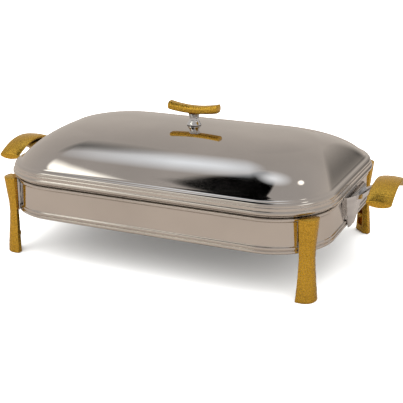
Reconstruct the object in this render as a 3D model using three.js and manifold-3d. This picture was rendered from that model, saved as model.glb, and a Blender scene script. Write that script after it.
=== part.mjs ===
// Electric buffet server: a stainless rectangular warmer with rounded corners on four cast legs,
// with a heated well, a lift-out food pan and a domed lift-off lid.
// Millimetres, +X along the length, +Y towards the rear, +Z up, origin on the floor under the centre.
import * as THREE from "three";
import { mergeVertices } from "three/addons/utils/BufferGeometryUtils.js";
import Module from "manifold-3d";

const wasm = await Module();
wasm.setup();

// ---- Driving dimensions ----
const GAP = 0.3; // clearance between pieces that touch
const SHEET = 1; // thickness of the stainless sheet
const CORNER_FLATS = 8; // flats on each rounded plan corner
const HOLE_FLATS = 4; // flats on each half of a round hole or slot end

// Body
const BODY_LENGTH = 400;
const BODY_DEPTH = 275.5;
const BODY_RADIUS = 70;
const BODY_BOTTOM = 53.2;
const BODY_TOP = 94;
const BEAD = 1.6; // how far a bead stands out of the wall
const FLANGE_WIDTH = 8; // the inward flanges at the body's top and bottom

// Base, heater and well
const BASE_THICKNESS = 1.2;
const WELL_FLOOR = 69;
const WELL_INSET = 21.5;
const ELEMENT_RADIUS = 3.2;
const POST_X = 140;
const POST_Y = 70;

// Food pan
const PAN_RIM = 95.4; // underside of the rim
const PAN_FLOOR = 72.3;
const PAN_INSET = 24.5;

// Lid
const LID_FOOT = 96.9; // where the lid stands on the pan's rim
const LID_TOP = 151;
const DOME_FOOT = 111.6;

// Legs
const LEG_HEIGHT = 95.5;
const LEG_TURN = THREE.MathUtils.degToRad(42); // direction of a leg from its plan corner
const LEG_BACK = 73.3; // from the plan corner's centre to the leg's flat back
const LEG_BOLT_HEIGHTS = [68, 84];
const BOLT_BORE = 2.3; // radius of the holes for the leg and bracket bolts

// Side handles
const CORBEL_BACK = BODY_LENGTH / 2 + BEAD + GAP;
const GRIP_X = 244; // middle of the grip
const GRIP_HALF_LENGTH = 46;
const GRIP_HALF_WIDTH = 15;
const GRIP_PLANE = 110.5; // height of the grip's edges in the middle of its length
const GRIP_DROP = 15; // how much lower the edges are at the ends
const GRIP_SEAT = 105.5; // the flat seat under the grip
const TONGUE_HALF_WIDTH = 18;
const TONGUE_THICKNESS = 2.6;

// Lid handle
const STEM_SEAT = LID_TOP + GAP;
const STEM_TOP = 165.2;
const SPIGOT_RADIUS = 3;
const SPIGOT_HEIGHT = 4;
const BAR_HALF_LENGTH = 32.4;
const BAR_RISE = 3.4; // how much higher the bar's ends are
const BAR_SWELL = 0.1; // how much thicker they are, as a share
const STUD_RADIUS = 2.4;

// Rear fittings, by their centres along X
const REAR_WALL = BODY_DEPTH / 2;
const REAR_HEIGHT = 76;
const INLET_X = 96;
const SWITCH_X = 56;
const LAMP_X = 30;
const ROCKER_TILT = THREE.MathUtils.degToRad(6);

// ---- Finishes ----
const finish = (color, roughness, metalness) =>
  new THREE.MeshStandardMaterial({ color, roughness, metalness });
const STEEL = finish(0xb9b0a4, 0.12, 1);
const CHROME = finish(0xd8d8da, 0.08, 1);
const GOLD = finish(0xc08a20, 0.35, 1);
const ZINC = finish(0xa8abae, 0.45, 1);
const ALUMINIUM = finish(0xc4c6c8, 0.5, 1);
const BLACK_PLASTIC = finish(0x17181a, 0.45, 0);
const CERAMIC = finish(0xe8e3d6, 0.7, 0);
const FIBRE = finish(0xd6cdb4, 0.95, 0);
const BRASS = finish(0xc9a24c, 0.35, 1);
const AMBER = finish(0xe07818, 0.2, 0);
const LIVE_SLEEVE = finish(0x6b3f24, 0.6, 0);
const NEUTRAL_SLEEVE = finish(0x2c5aa0, 0.6, 0);
const EARTH_SLEEVE = finish(0x7fae3a, 0.6, 0);

// ---- Solids ----
const group = new THREE.Group();

function addMesh(name, geometry, material, parent = group) {
  const mesh = new THREE.Mesh(geometry, material);
  mesh.name = name;
  parent.add(mesh);
  return mesh;
}

function solidOf(geometry) {
  const bare = geometry.index ? geometry.toNonIndexed() : geometry.clone();
  bare.deleteAttribute("normal");
  bare.deleteAttribute("uv");
  const merged = mergeVertices(bare, 1e-3);
  return new wasm.Manifold(
    new wasm.Mesh({
      numProp: 3,
      vertProperties: merged.attributes.position.array,
      triVerts: new Uint32Array(merged.index.array),
    }),
  );
}

function geometryOf(solid) {
  const mesh = solid.getMesh();
  const geometry = new THREE.BufferGeometry();
  geometry.setAttribute("position", new THREE.BufferAttribute(mesh.vertProperties, 3));
  geometry.setIndex(new THREE.BufferAttribute(mesh.triVerts, 1));
  return geometry;
}

function cut(geometry, cutters) {
  return geometryOf(cutters.reduce((left, tool) => left.subtract(solidOf(tool)), solidOf(geometry)));
}

function join(geometries) {
  return geometryOf(geometries.map(solidOf).reduce((whole, piece) => whole.add(piece)));
}

function box(x0, y0, z0, x1, y1, z1) {
  const geometry = new THREE.BoxGeometry(x1 - x0, y1 - y0, z1 - z0);
  return geometry.translate((x0 + x1) / 2, (y0 + y1) / 2, (z0 + z1) / 2);
}

// A turned solid about Z. The profile is [radius, height], from the bottom round to the top.
function turned(profile, sides = 16) {
  const points = profile.map(([radius, height]) => new THREE.Vector2(radius, height));
  return new THREE.LatheGeometry(points, sides).rotateX(Math.PI / 2);
}

// A round bar along X, Y or Z between two places on that axis.
function rod(axis, radius, from, to, sides = 12) {
  const geometry = turned([[0, from], [radius, from], [radius, to], [0, to]], sides);
  if (axis === "x") geometry.rotateY(Math.PI / 2);
  if (axis === "y") geometry.rotateX(-Math.PI / 2);
  return geometry;
}

// A plate in plan, from a shape with holes.
function plate(shape, bottom, thickness) {
  const options = { depth: thickness, bevelEnabled: false, curveSegments: HOLE_FLATS };
  return new THREE.ExtrudeGeometry(shape, options).translate(0, 0, bottom);
}

// A strip of sheet bent in the XZ plane and `2 * halfWidth` wide along Y.
function bentStrip(outline, halfWidth) {
  const shape = new THREE.Shape(outline.map(([x, z]) => new THREE.Vector2(x, z)));
  const geometry = new THREE.ExtrudeGeometry(shape, { depth: 2 * halfWidth, bevelEnabled: false });
  return geometry.rotateX(Math.PI / 2).translate(0, halfWidth, 0);
}

// A solid through rings of equal length. It is capped at both ends, or runs round to its start.
function loft(rings, endless = false) {
  const count = rings[0].length;
  const positions = rings.flat().flatMap((point) => [point.x, point.y, point.z]);
  const index = [];
  const spans = endless ? rings.length : rings.length - 1;
  for (let i = 0; i < spans; i += 1) {
    const low = i * count;
    const high = ((i + 1) % rings.length) * count;
    for (let j = 0; j < count; j += 1) {
      const next = (j + 1) % count;
      index.push(low + j, low + next, high + next, low + j, high + next, high + j);
    }
  }
  const last = (rings.length - 1) * count;
  for (let j = 1; !endless && j < count - 1; j += 1) {
    index.push(0, j + 1, j, last, last + j, last + j + 1);
  }
  const geometry = new THREE.BufferGeometry();
  geometry.setAttribute("position", new THREE.Float32BufferAttribute(positions, 3));
  geometry.setIndex(index);
  return geometry;
}

// A rounded rectangle from its half sizes, anticlockwise from the right end.
function roundedRectangle(x, y, wantedRadius) {
  const radius = THREE.MathUtils.clamp(wantedRadius, 4, y - 1);
  const points = [];
  for (const [quarter, sx, sy] of [
    [0, 1, 1],
    [1, -1, 1],
    [2, -1, -1],
    [3, 1, -1],
  ]) {
    for (let i = 0; i <= CORNER_FLATS; i += 1) {
      const angle = ((quarter + i / CORNER_FLATS) * Math.PI) / 2;
      const cornerX = sx * (x - radius);
      const cornerY = sy * (y - radius);
      points.push(
        new THREE.Vector2(
          cornerX + radius * Math.cos(angle),
          cornerY + radius * Math.sin(angle),
        ),
      );
    }
  }
  return points;
}

// The body's plan, `offset` outside its wall.
function planPoints(offset) {
  return roundedRectangle(BODY_LENGTH / 2 + offset, BODY_DEPTH / 2 + offset, BODY_RADIUS + offset);
}

const atHeight = (points, height) => points.map((point) => new THREE.Vector3(point.x, point.y, height));
const planRing = (offset, height) => atHeight(planPoints(offset), height);

// Profiles are [offset, height], anticlockwise with the offset to the right and the height up.
const wall = (profile) => loft(profile.map(([offset, height]) => planRing(offset, height)), true);
const dish = (profile) => loft(profile.map(([offset, height]) => planRing(offset, height)));

// ---- Body ----
function bodyShell() {
  const z = BODY_BOTTOM;
  const shell = wall([
    [-1 - FLANGE_WIDTH, z],
    [0, z],
    [BEAD, z + 1],
    [BEAD, z + 3.1],
    [0.3, z + 4.2],
    [BEAD, z + 5.3],
    [BEAD, z + 7.4],
    [0, z + 8.6],
    [0, BODY_TOP - 4.1],
    [BEAD, BODY_TOP - 3.2],
    [BEAD, BODY_TOP - 1],
    [0.4, BODY_TOP],
    [-FLANGE_WIDTH, BODY_TOP],
    [-FLANGE_WIDTH, BODY_TOP - SHEET],
    [-SHEET, BODY_TOP - SHEET],
    [-SHEET, z + SHEET],
    [-1 - FLANGE_WIDTH, z + SHEET],
  ]);
  return cut(shell, [...legBoltHoles(), corbelBoltHole(), mirrored(corbelBoltHole()), ...rearOpenings()]);
}

function basePlate() {
  const shape = new THREE.Shape(planPoints(-SHEET - GAP - 0.1));
  for (const side of [-1, 1]) {
    for (let i = -2; i <= 2; i += 1) {
      shape.holes.push(slot(i * 34, side * 118, 22, 4));
    }
    for (const end of [-1, 1]) {
      shape.holes.push(roundHole(end * POST_X, side * POST_Y, 2.3));
    }
  }
  return plate(shape, BODY_BOTTOM + SHEET + GAP, BASE_THICKNESS);
}

function slot(x, y, length, width) {
  const r = width / 2;
  const half = length / 2 - r;
  const hole = new THREE.Path();
  hole.absarc(x + half, y, r, -Math.PI / 2, Math.PI / 2);
  hole.absarc(x - half, y, r, Math.PI / 2, 1.5 * Math.PI);
  hole.closePath();
  return hole;
}

function roundHole(x, y, radius) {
  const hole = new THREE.Path();
  hole.absarc(x, y, radius, 0, 2 * Math.PI);
  return hole;
}

const BASE_TOP = BODY_BOTTOM + SHEET + GAP + BASE_THICKNESS;
const POST_TOP = WELL_FLOOR - GAP;

function post() {
  const bore = 1.9;
  const radius = 5;
  const profile = [
    [0, POST_TOP - 3],
    [bore, POST_TOP - 3],
    [bore, BASE_TOP + GAP],
    [radius, BASE_TOP + GAP],
    [radius, POST_TOP],
    [0, POST_TOP],
  ];
  return turned(profile, 12);
}

// A pan-headed screw that points up: its head's underside is at z = 0.
function screw(shankRadius, shankLength, headRadius, headHeight, sides = 12) {
  const profile = [
    [0, -headHeight],
    [headRadius * 0.7, -headHeight],
    [headRadius, -headHeight * 0.4],
    [headRadius, 0],
    [shankRadius, 0],
    [shankRadius, shankLength],
    [0, shankLength],
  ];
  return turned(profile, sides);
}

function insulationPad() {
  const shape = new THREE.Shape(planPoints(-34));
  for (const x of [-POST_X, POST_X]) {
    for (const y of [-POST_Y, POST_Y]) {
      shape.holes.push(roundHole(x, y, 6));
    }
  }
  return plate(shape, BASE_TOP + GAP, 3.6);
}

function heatingWell() {
  const rim = BODY_TOP + GAP;
  return dish([
    [-WELL_INSET - 9, WELL_FLOOR],
    [-WELL_INSET - 5, WELL_FLOOR + 1],
    [-WELL_INSET - 1, WELL_FLOOR + 5],
    [-WELL_INSET, rim - 1],
    [-WELL_INSET + 1, rim],
    [-2, rim],
    [-2, rim + 0.8],
    [-WELL_INSET + 0.2, rim + 0.8],
    [-WELL_INSET - 1, rim - 1],
    [-WELL_INSET - 2, WELL_FLOOR + 5.4],
    [-WELL_INSET - 5.6, WELL_FLOOR + 2],
    [-WELL_INSET - 9, WELL_FLOOR + 1],
  ]);
}

// ---- Heater ----
const ELEMENT_HEIGHT = WELL_FLOOR - GAP - ELEMENT_RADIUS;
const ELEMENT_PASSES = [-66, -22, 22, 66];
const ELEMENT_END = 112;

// The element's route: four passes along X joined by half turns, with both ends at the left.
function elementRoute() {
  const pitch = ELEMENT_PASSES[1] - ELEMENT_PASSES[0];
  const points = [];
  ELEMENT_PASSES.forEach((y, i) => {
    const side = i % 2 ? -1 : 1;
    for (const share of [-1, -0.5, 0, 0.5, 1]) {
      points.push([side * share * ELEMENT_END, y]);
    }
    if (i < ELEMENT_PASSES.length - 1) {
      points.push([side * (ELEMENT_END + pitch / 2), y + pitch / 2]);
    }
  });
  return points.map(([x, y]) => new THREE.Vector3(x, y, ELEMENT_HEIGHT));
}

function tube(points, radius, steps, sides = 8) {
  const section = new THREE.Shape();
  section.absarc(0, 0, radius, 0, 2 * Math.PI);
  const path = new THREE.CatmullRomCurve3(points, false, "centripetal");
  const options = { steps, extrudePath: path, bevelEnabled: false, curveSegments: sides / 2 };
  return new THREE.ExtrudeGeometry(section, options);
}

// A strap under the element, with a foot on each side against the well's floor.
function elementClip() {
  const top = WELL_FLOOR - GAP;
  const inner = ELEMENT_RADIUS + GAP;
  const outer = inner + SHEET;
  const low = top - 2 * ELEMENT_RADIUS - GAP;
  const outline = [
    [-outer - 6, top - SHEET],
    [-outer, top - SHEET],
    [-outer, low],
    [-outer + 2, low - SHEET],
    [outer - 2, low - SHEET],
    [outer, low],
    [outer, top - SHEET],
    [outer + 6, top - SHEET],
    [outer + 6, top],
    [inner, top],
    [inner, low + 0.6],
    [inner - 1.4, low],
    [1.4 - inner, low],
    [-inner, low + 0.6],
    [-inner, top],
    [-outer - 6, top],
  ];
  return bentStrip(outline, 4).rotateZ(Math.PI / 2);
}

function thermostat() {
  const top = WELL_FLOOR - GAP;
  const can = turned([[0, top - 7], [6, top - 7], [8, top - 5], [8, top], [0, top]], 16);
  return join([can, box(-9.5, -2, top - 8, -6, 2, top - 6), box(6, -2, top - 8, 9.5, 2, top - 6)]);
}

function thermalFuse() {
  const z = WELL_FLOOR - GAP - 2.2;
  return join([rod("x", 2, -7, 7, 10).translate(0, 0, z), rod("x", 0.8, -11, 11, 8).translate(0, 0, z)]);
}

function terminalBlock() {
  const block = box(-12, -4.5, 0, 12, 4.5, 8.5);
  const ways = [-7.5, 0, 7.5].map((x) => rod("y", 1.7, -6, 6, 8).translate(x, 0, 4));
  return cut(block, ways);
}

// ---- Rear fittings ----
const INLET = { halfWidth: 13.6, halfHeight: 9.9, bezel: 2.2 };
const SWITCH = { halfWidth: 6.6, halfHeight: 9.8, bezel: 2 };
const LAMP_RADIUS = 4.5;

function rearOpenings() {
  const z = REAR_HEIGHT;
  const cutter = (x, halfWidth, halfHeight) =>
    box(x - halfWidth, REAR_WALL - 4, z - halfHeight, x + halfWidth, REAR_WALL + 4, z + halfHeight);
  return [
    cutter(INLET_X, INLET.halfWidth + GAP, INLET.halfHeight + GAP),
    cutter(SWITCH_X, SWITCH.halfWidth + 1 + GAP, SWITCH.halfHeight + 1 + GAP),
    rod("y", LAMP_RADIUS + GAP, REAR_WALL - 4, REAR_WALL + 4, 16).translate(LAMP_X, 0, z),
  ];
}

const PINS = [
  ["inlet_pin_live", -7, -2],
  ["inlet_pin_neutral", 7, -2],
  ["inlet_pin_earth", 0, 2],
];
const PIN_HALF = [1, 2]; // half a pin's width and height

function powerInlet() {
  const { halfWidth, halfHeight, bezel } = INLET;
  const face = REAR_WALL + bezel + GAP;
  const back = REAR_WALL - 19;
  const housing = box(-halfWidth, back, -halfHeight, halfWidth, REAR_WALL + 1, halfHeight);
  const rim = box(-halfWidth - 2, REAR_WALL + GAP, -halfHeight - 2, halfWidth + 2, face, halfHeight + 2);
  const socket = box(2 - halfWidth, back + 3, 2 - halfHeight, halfWidth - 2, face + 1, halfHeight - 2);
  const slots = PINS.map(([, x, z]) => pinBlock(x, z, GAP));
  return cut(join([housing, rim]), [socket, ...slots]);
}

function pinBlock(x, z, clearance = 0) {
  const [w, h] = PIN_HALF.map((half) => half + clearance);
  return box(x - w, REAR_WALL - 20.6, z - h, x + w, REAR_WALL - 2, z + h);
}

function switchFrame() {
  const { halfWidth, halfHeight, bezel } = SWITCH;
  const face = REAR_WALL + bezel + GAP;
  const around = (margin, back, front) =>
    box(-halfWidth - margin, back, -halfHeight - margin, halfWidth + margin, front, halfHeight + margin);
  const body = around(1, REAR_WALL - 14, REAR_WALL + 1);
  const rim = around(2.5, REAR_WALL + GAP, face);
  const window = around(0, REAR_WALL - 10, face + 1);
  return cut(join([body, rim]), [window]);
}

const ROCKER_PIVOT = REAR_WALL - 3;

// The rocker about its pivot: two flat faces that meet in a shallow valley over the pivot.
function rocker() {
  const half = SWITCH.halfHeight - 1.3;
  const outline = [
    [-4, -5],
    [4, -5],
    [half, 1],
    [half, 6.2],
    [0, 5.2],
    [-half, 6.2],
    [-half, 1],
  ];
  const shape = new THREE.Shape(outline.map(([z, y]) => new THREE.Vector2(y, z)));
  const depth = 2 * (SWITCH.halfWidth - 0.5);
  const geometry = new THREE.ExtrudeGeometry(shape, { depth, bevelEnabled: false });
  return geometry.translate(0, 0, -depth / 2).rotateX(Math.PI / 2).rotateZ(Math.PI / 2);
}

function pilotLamp() {
  const radius = LAMP_RADIUS;
  const profile = [
    [0, -9],
    [radius, -9],
    [radius, GAP],
    [radius + 1.5, GAP],
    [radius + 1.3, 1.4],
    [radius * 0.6, 2.6],
    [0, 3],
  ];
  return turned(profile, 16).rotateX(-Math.PI / 2).translate(0, REAR_WALL, 0);
}

// ---- Legs ----
const CORNER_X = BODY_LENGTH / 2 - BODY_RADIUS;
const CORNER_Y = BODY_DEPTH / 2 - BODY_RADIUS;
const CORNERS = [
  { name: "front_left", x: -CORNER_X, y: -CORNER_Y, turn: Math.PI + LEG_TURN },
  { name: "front_right", x: CORNER_X, y: -CORNER_Y, turn: -LEG_TURN },
  { name: "rear_right", x: CORNER_X, y: CORNER_Y, turn: LEG_TURN },
  { name: "rear_left", x: -CORNER_X, y: CORNER_Y, turn: Math.PI - LEG_TURN },
];

// A leg's section at each height: [height, half width, thickness].
const LEG_SECTIONS = [
  [0, 14.2, 14.2],
  [10, 13.2, 13.6],
  [22, 12, 12.6],
  [36, 10.9, 11.2],
  [50, 10.3, 10.2],
  [62, 10.7, 10.5],
  [76, 11.7, 12.2],
  [87, 12.6, 13.6],
  [LEG_HEIGHT, 13, 14.5],
];
const LEG_SIDES = 18;
const BOSS_HEIGHT = 22;

// A bolt's hole through the bracket and the leg's back, in the leg's own frame.
function legBore(depth, height) {
  return rod("x", BOLT_BORE, BODY_RADIUS - 2, depth, 8).translate(0, 0, height);
}

// The leg stands along +X of its own frame: a lens in plan with a flat back, hollow below the body.
function leg() {
  const rings = LEG_SECTIONS.map(([height, half, thick]) => lensRing(height, half, thick));
  const hollow = box(LEG_BACK - 5, -5.5, 9, LEG_BACK + 6, 5.5, 50);
  const boss = rod("x", 3, LEG_BACK - 1.5, LEG_BACK + 7, 10).translate(0, 0, BOSS_HEIGHT);
  const holes = LEG_BOLT_HEIGHTS.map((z) => legBore(LEG_BACK + 7, z));
  return cut(join([cut(loft(rings), [hollow]), boss]), holes);
}

function lensRing(height, half, thick) {
  const edge = thick * 0.3; // how far the two edges stand in front of the flat back
  const ring = [];
  for (let i = 0; i < LEG_SIDES; i += 1) {
    const angle = (2 * Math.PI * (i + 0.5)) / LEG_SIDES - Math.PI / 2;
    const bulge = Math.cos(angle) ** 2;
    const front = Math.cos(angle) > 0;
    const depth = front ? edge + (thick - edge) * bulge : edge * (1 - Math.min(1, 2 * bulge));
    ring.push(new THREE.Vector3(LEG_BACK + depth, half * Math.sin(angle), height));
  }
  return ring;
}

// A chromed channel between the body's corner and the leg: a pad between the beads and a face plate.
function legBracket() {
  const front = LEG_BACK - GAP;
  const padBack = BODY_RADIUS + GAP;
  const faceBack = padBack + BEAD;
  const face = box(faceBack, -8.5, BODY_BOTTOM + 1, front, 8.5, LEG_HEIGHT - 1.5);
  const pad = box(padBack, -6, BODY_BOTTOM + 9.2, front, 6, BODY_TOP - 4.7);
  const holes = LEG_BOLT_HEIGHTS.map((z) => legBore(LEG_BACK + 2, z));
  return cut(join([pad, face]), holes);
}

// How far the middle of a corner's flat lies inside its arc.
const FACET_SAG = BODY_RADIUS * (1 - Math.cos(Math.PI / (4 * CORNER_FLATS)));
const BOLT_SEAT = BODY_RADIUS - SHEET - GAP - FACET_SAG; // a bolt head's underside, inside the wall

function legBolt(height) {
  return screw(2, 9.5, 4, 2.8, 10).rotateY(Math.PI / 2).translate(BOLT_SEAT, 0, height);
}

function legBoltHoles() {
  return CORNERS.flatMap((corner) =>
    LEG_BOLT_HEIGHTS.map((z) =>
      legBore(BODY_RADIUS + 2, z).rotateZ(corner.turn).translate(corner.x, corner.y, 0),
    ),
  );
}

// ---- Side handles, built for the right end ----
const CORBEL_BOLT_HEIGHT = 76;

// A corbel's section at each height: [height, half width, how far it stands out].
const CORBEL_SECTIONS = [
  [50.5, 11, 1.5],
  [52, 13, 3],
  [60, 17.5, 4.6],
  [72, 24, 6.6],
  [84, 31, 9],
  [92, 35.5, 11.5],
  [94.5, 36, 12],
];

function corbel() {
  const rings = CORBEL_SECTIONS.map(([z, half, depth]) =>
    [
      [0, -half],
      [depth * 0.35, -half],
      [depth * 0.9, -half * 0.62],
      [depth, -half * 0.3],
      [depth, half * 0.3],
      [depth * 0.9, half * 0.62],
      [depth * 0.35, half],
      [0, half],
    ].map(([x, y]) => new THREE.Vector3(CORBEL_BACK + x, y, z)),
  );
  const pad = box(BODY_LENGTH / 2 + GAP, -20, 63, CORBEL_BACK + 1, 20, 89);
  const holes = [corbelBoltHole(), gripScrewHole()];
  return cut(join([loft(rings), pad, arm()]), holes);
}

// The strap that sweeps from the corbel's top out and up to a flat tongue under the grip.
function arm() {
  const top = GRIP_SEAT - GAP;
  const outline = [
    [206, 88],
    [212, 87.5],
    [220, 91],
    [227, 97],
    [234, 101.4],
    [240, top - TONGUE_THICKNESS],
    [254, top - TONGUE_THICKNESS],
    [254, top],
    [238, top],
    [231, 103.6],
    [224, 99.8],
    [217, 94.5],
    [211, 91.8],
    [206, 91.8],
  ];
  return bentStrip(outline, TONGUE_HALF_WIDTH);
}

const GRIP_SIDES = 16;
const GRIP_TOP_BULGE = 2.5;
const GRIP_LOW_BULGE = 5;

// The grip: a thin lens in section, arched along Y, with a flat seat for the tongue.
function grip() {
  const rings = [];
  const spans = 10;
  for (let i = 0; i <= spans; i += 1) {
    const along = (2 * i) / spans - 1;
    const middle = GRIP_PLANE - GRIP_DROP * along ** 2;
    rings.push(gripRing(along * GRIP_HALF_LENGTH, middle));
  }
  const edge = TONGUE_HALF_WIDTH + GAP;
  const seat = box(GRIP_X - 20, -edge, GRIP_SEAT - 12, GRIP_X + 20, edge, GRIP_SEAT);
  return cut(loft(rings), [seat, gripScrewHole()]);
}

function gripRing(y, middle) {
  const ring = [];
  for (let i = 0; i < GRIP_SIDES; i += 1) {
    const angle = (2 * Math.PI * (i + 0.5)) / GRIP_SIDES;
    const up = Math.cos(angle);
    const bulge = up > 0 ? GRIP_TOP_BULGE : -GRIP_LOW_BULGE;
    ring.push(new THREE.Vector3(GRIP_X + GRIP_HALF_WIDTH * Math.sin(angle), y, middle + bulge * up ** 2));
  }
  return ring;
}

function gripScrewHole() {
  return rod("z", 2.2, GRIP_SEAT - 6, GRIP_SEAT + 4.2, 8).translate(GRIP_X, 0, 0);
}

function corbelBoltHole() {
  const wallFace = BODY_LENGTH / 2;
  return rod("x", BOLT_BORE, wallFace - 4, CORBEL_BACK + 5, 8).translate(0, 0, CORBEL_BOLT_HEIGHT);
}

// ---- Food pan ----
function foodPan() {
  const rim = PAN_RIM;
  return dish([
    [-PAN_INSET - 10, PAN_FLOOR],
    [-PAN_INSET - 5, PAN_FLOOR + 1.2],
    [-PAN_INSET - 1.5, PAN_FLOOR + 5],
    [-PAN_INSET, rim - 1],
    [-PAN_INSET + 1, rim],
    [0.6, rim],
    [1.2, rim + 0.6],
    [0.6, rim + 1.2],
    [-PAN_INSET + 0.2, rim + 1.2],
    [-PAN_INSET - 1, rim - 1],
    [-PAN_INSET - 2.5, PAN_FLOOR + 5.4],
    [-PAN_INSET - 5.6, PAN_FLOOR + 2.2],
    [-PAN_INSET - 10, PAN_FLOOR + 1],
  ]);
}

// ---- Lid ----
// The dome is an arch across its depth and nearly level along its length, falling away at the ends.
const DOME_INSET = 3; // the dome's foot inside the body's wall
const DOME_RADIUS = 68;
const DOME_ARCH = { rise: 1.15, spread: 2.4 };
const DOME_LENGTHWISE = { rise: 1.15, spread: 7.4 };
const DOME_LEVELS = [0.08, 0.17, 0.28, 0.4, 0.52, 0.64, 0.75, 0.85, 0.92, 0.97, 0.995];

// The rim's outside, from the foot on the pan round the lip and up the skirt.
const LID_RIM = [
  [-1.6, LID_FOOT],
  [-0.2, LID_FOOT],
  [1.6, 98.5],
  [5.2, 98.5],
  [6, 99.6],
  [6, 101.3],
  [4.9, 102.6],
  [4.2, 103],
  [4.2, 106.2],
  [3.2, 106.9],
  [3.4, 108.2],
  [2.2, 110.3],
  [0, 111.5],
  [-1.8, 111.9],
];

// The share of its width that the dome still has at a level from 0, its foot, to 1, its crown.
function domeShare(level, { rise, spread }) {
  return (1 - level ** rise) ** (1 / spread);
}

function domeRing(level, inward = 0) {
  const halfLength = (BODY_LENGTH / 2 - DOME_INSET) * domeShare(level, DOME_LENGTHWISE) - inward;
  const halfDepth = (BODY_DEPTH / 2 - DOME_INSET) * domeShare(level, DOME_ARCH) - inward;
  const drop = inward > 0 ? SHEET : 0;
  const height = THREE.MathUtils.lerp(DOME_FOOT, LID_TOP, level / DOME_LEVELS.at(-1));
  return atHeight(roundedRectangle(halfLength, halfDepth, DOME_RADIUS), height - drop);
}

function lidShell() {
  const wallInside = 0.8;
  const inner = DOME_LEVELS.toReversed().map((level) => domeRing(level, wallInside));
  const rimInside = [
    [-3.4, 110.6],
    [0, 110.2],
    [2.4, 107.6],
    [2.6, 100.2],
    [-1.6, 99.2],
  ];
  const shell = loft([
    ...inner,
    ...[...rimInside, ...LID_RIM].map(([offset, height]) => planRing(offset, height)),
    ...DOME_LEVELS.map((level) => domeRing(level)),
  ]);
  return cut(shell, [rod("z", STUD_RADIUS + GAP, LID_TOP - 6, LID_TOP + 4, 12)]);
}

// The turned stem: a threaded stud through the lid, a flared foot, a neck, a collar and a spigot.
function lidStem() {
  const studFoot = LID_TOP - 10;
  const spigotTop = STEM_TOP + SPIGOT_HEIGHT;
  const profile = [
    [0, studFoot],
    [STUD_RADIUS, studFoot],
    [STUD_RADIUS, STEM_SEAT],
    [9, STEM_SEAT],
    [9, STEM_SEAT + 1],
    [8.3, STEM_SEAT + 2.2],
    [6.9, STEM_SEAT + 4],
    [5.9, STEM_SEAT + 6.4],
    [5.6, STEM_SEAT + 8.8],
    [5.8, STEM_SEAT + 11],
    [7, STEM_TOP - 0.8],
    [7, STEM_TOP],
    [SPIGOT_RADIUS, STEM_TOP],
    [SPIGOT_RADIUS, spigotTop],
    [0, spigotTop],
  ];
  return turned(profile, 20);
}

// The bar: a bevelled section along X whose ends rise, drilled for the spigot.
function lidBar() {
  const seat = STEM_TOP + GAP;
  const section = [
    [-4.6, 0],
    [4.6, 0],
    [7.2, 2.6],
    [7.4, 6.2],
    [4.4, 9.6],
    [-4.4, 9.6],
    [-7.4, 6.2],
    [-7.2, 2.6],
  ];
  const spans = 10;
  const rings = [];
  for (let i = 0; i <= spans; i += 1) {
    const along = (2 * i) / spans - 1;
    const lift = seat + BAR_RISE * along ** 2;
    const swell = 1 + BAR_SWELL * along ** 2;
    const x = along * BAR_HALF_LENGTH;
    rings.push(section.map(([y, z]) => new THREE.Vector3(x, y * swell, lift + z * swell)));
  }
  const socket = rod("z", SPIGOT_RADIUS + GAP, seat - 1, STEM_TOP + SPIGOT_HEIGHT + GAP, 12);
  const collarSeat = rod("z", 7.4, seat - 6, seat, 12);
  return cut(loft(rings), [socket, collarSeat]);
}

// A flat ring from its inner and outer radius, its top face and its thickness.
function washer(inner, outer, top, thickness, sides) {
  const low = top - thickness;
  const profile = [
    [inner, low],
    [outer, low],
    [outer, top],
    [inner, top],
    [inner, low],
  ];
  return turned(profile, sides);
}

const UNDER_CROWN = LID_TOP - SHEET - GAP; // the highest that a fastener under the crown reaches
const WASHER_THICKNESS = 1;
const NUT_HEIGHT = 4;

function lidWasher() {
  return washer(STUD_RADIUS + 0.4, 7, UNDER_CROWN - 0.1, WASHER_THICKNESS, 16);
}

function lidNut() {
  return washer(STUD_RADIUS + 0.4, 4.6, UNDER_CROWN - WASHER_THICKNESS - 2 * GAP, NUT_HEIGHT, 6);
}

// ---- Wiring: sleeved leads between the rear fittings, the terminals and the heater ----
const LEAD_RADIUS = 1.1;
const UNDER_ELEMENT = 61; // a lead's height where it crosses under the element
const LEADS = [
  {
    name: "lead_live",
    sleeve: LIVE_SLEEVE,
    route: [
      [INLET_X - 7, 128, 64.6],
      [INLET_X - 10, 127, 60.5],
      [SWITCH_X + 12, 127, 60],
      [SWITCH_X + 3, 127, 61],
      [SWITCH_X + 1, 127, 63.7],
    ],
  },
  {
    name: "lead_switched",
    sleeve: LIVE_SLEEVE,
    route: [
      [SWITCH_X - 3, 128, 63.7],
      [SWITCH_X - 3, 124, 61],
      [SWITCH_X + 2, 114, 62],
      [60, 107, 64],
      [60, 101.2, 64.3],
    ],
  },
  {
    name: "lead_neutral",
    sleeve: NEUTRAL_SLEEVE,
    route: [
      [INLET_X + 7, 128, 64.6],
      [INLET_X + 7, 124, 60.5],
      [INLET_X - 8, 113, 61],
      [70, 108, 63],
      [67.5, 101.2, 64.3],
    ],
  },
  {
    name: "lead_earth",
    sleeve: EARTH_SLEEVE,
    route: [
      [INLET_X + 1, 133, 64.6],
      [INLET_X + 5, 132.5, 61],
      [INLET_X + 18, 122, 58.6],
      [INLET_X + 26, 109, 57.5],
    ],
  },
  {
    name: "lead_thermostat",
    sleeve: LIVE_SLEEVE,
    route: [
      [60, 90.6, 64.3],
      [59, 86, 63],
      [54, 76, UNDER_ELEMENT],
      [40, 60, UNDER_ELEMENT],
      [22, 48, UNDER_ELEMENT],
      [11, 44, UNDER_ELEMENT],
    ],
  },
];

function lead(route) {
  const points = route.map(([x, y, z]) => new THREE.Vector3(x, y, z));
  return tube(points, LEAD_RADIUS, 16);
}

// ---- Assembly ----
function mirrored(geometry) {
  return geometry.clone().rotateZ(Math.PI);
}

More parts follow.
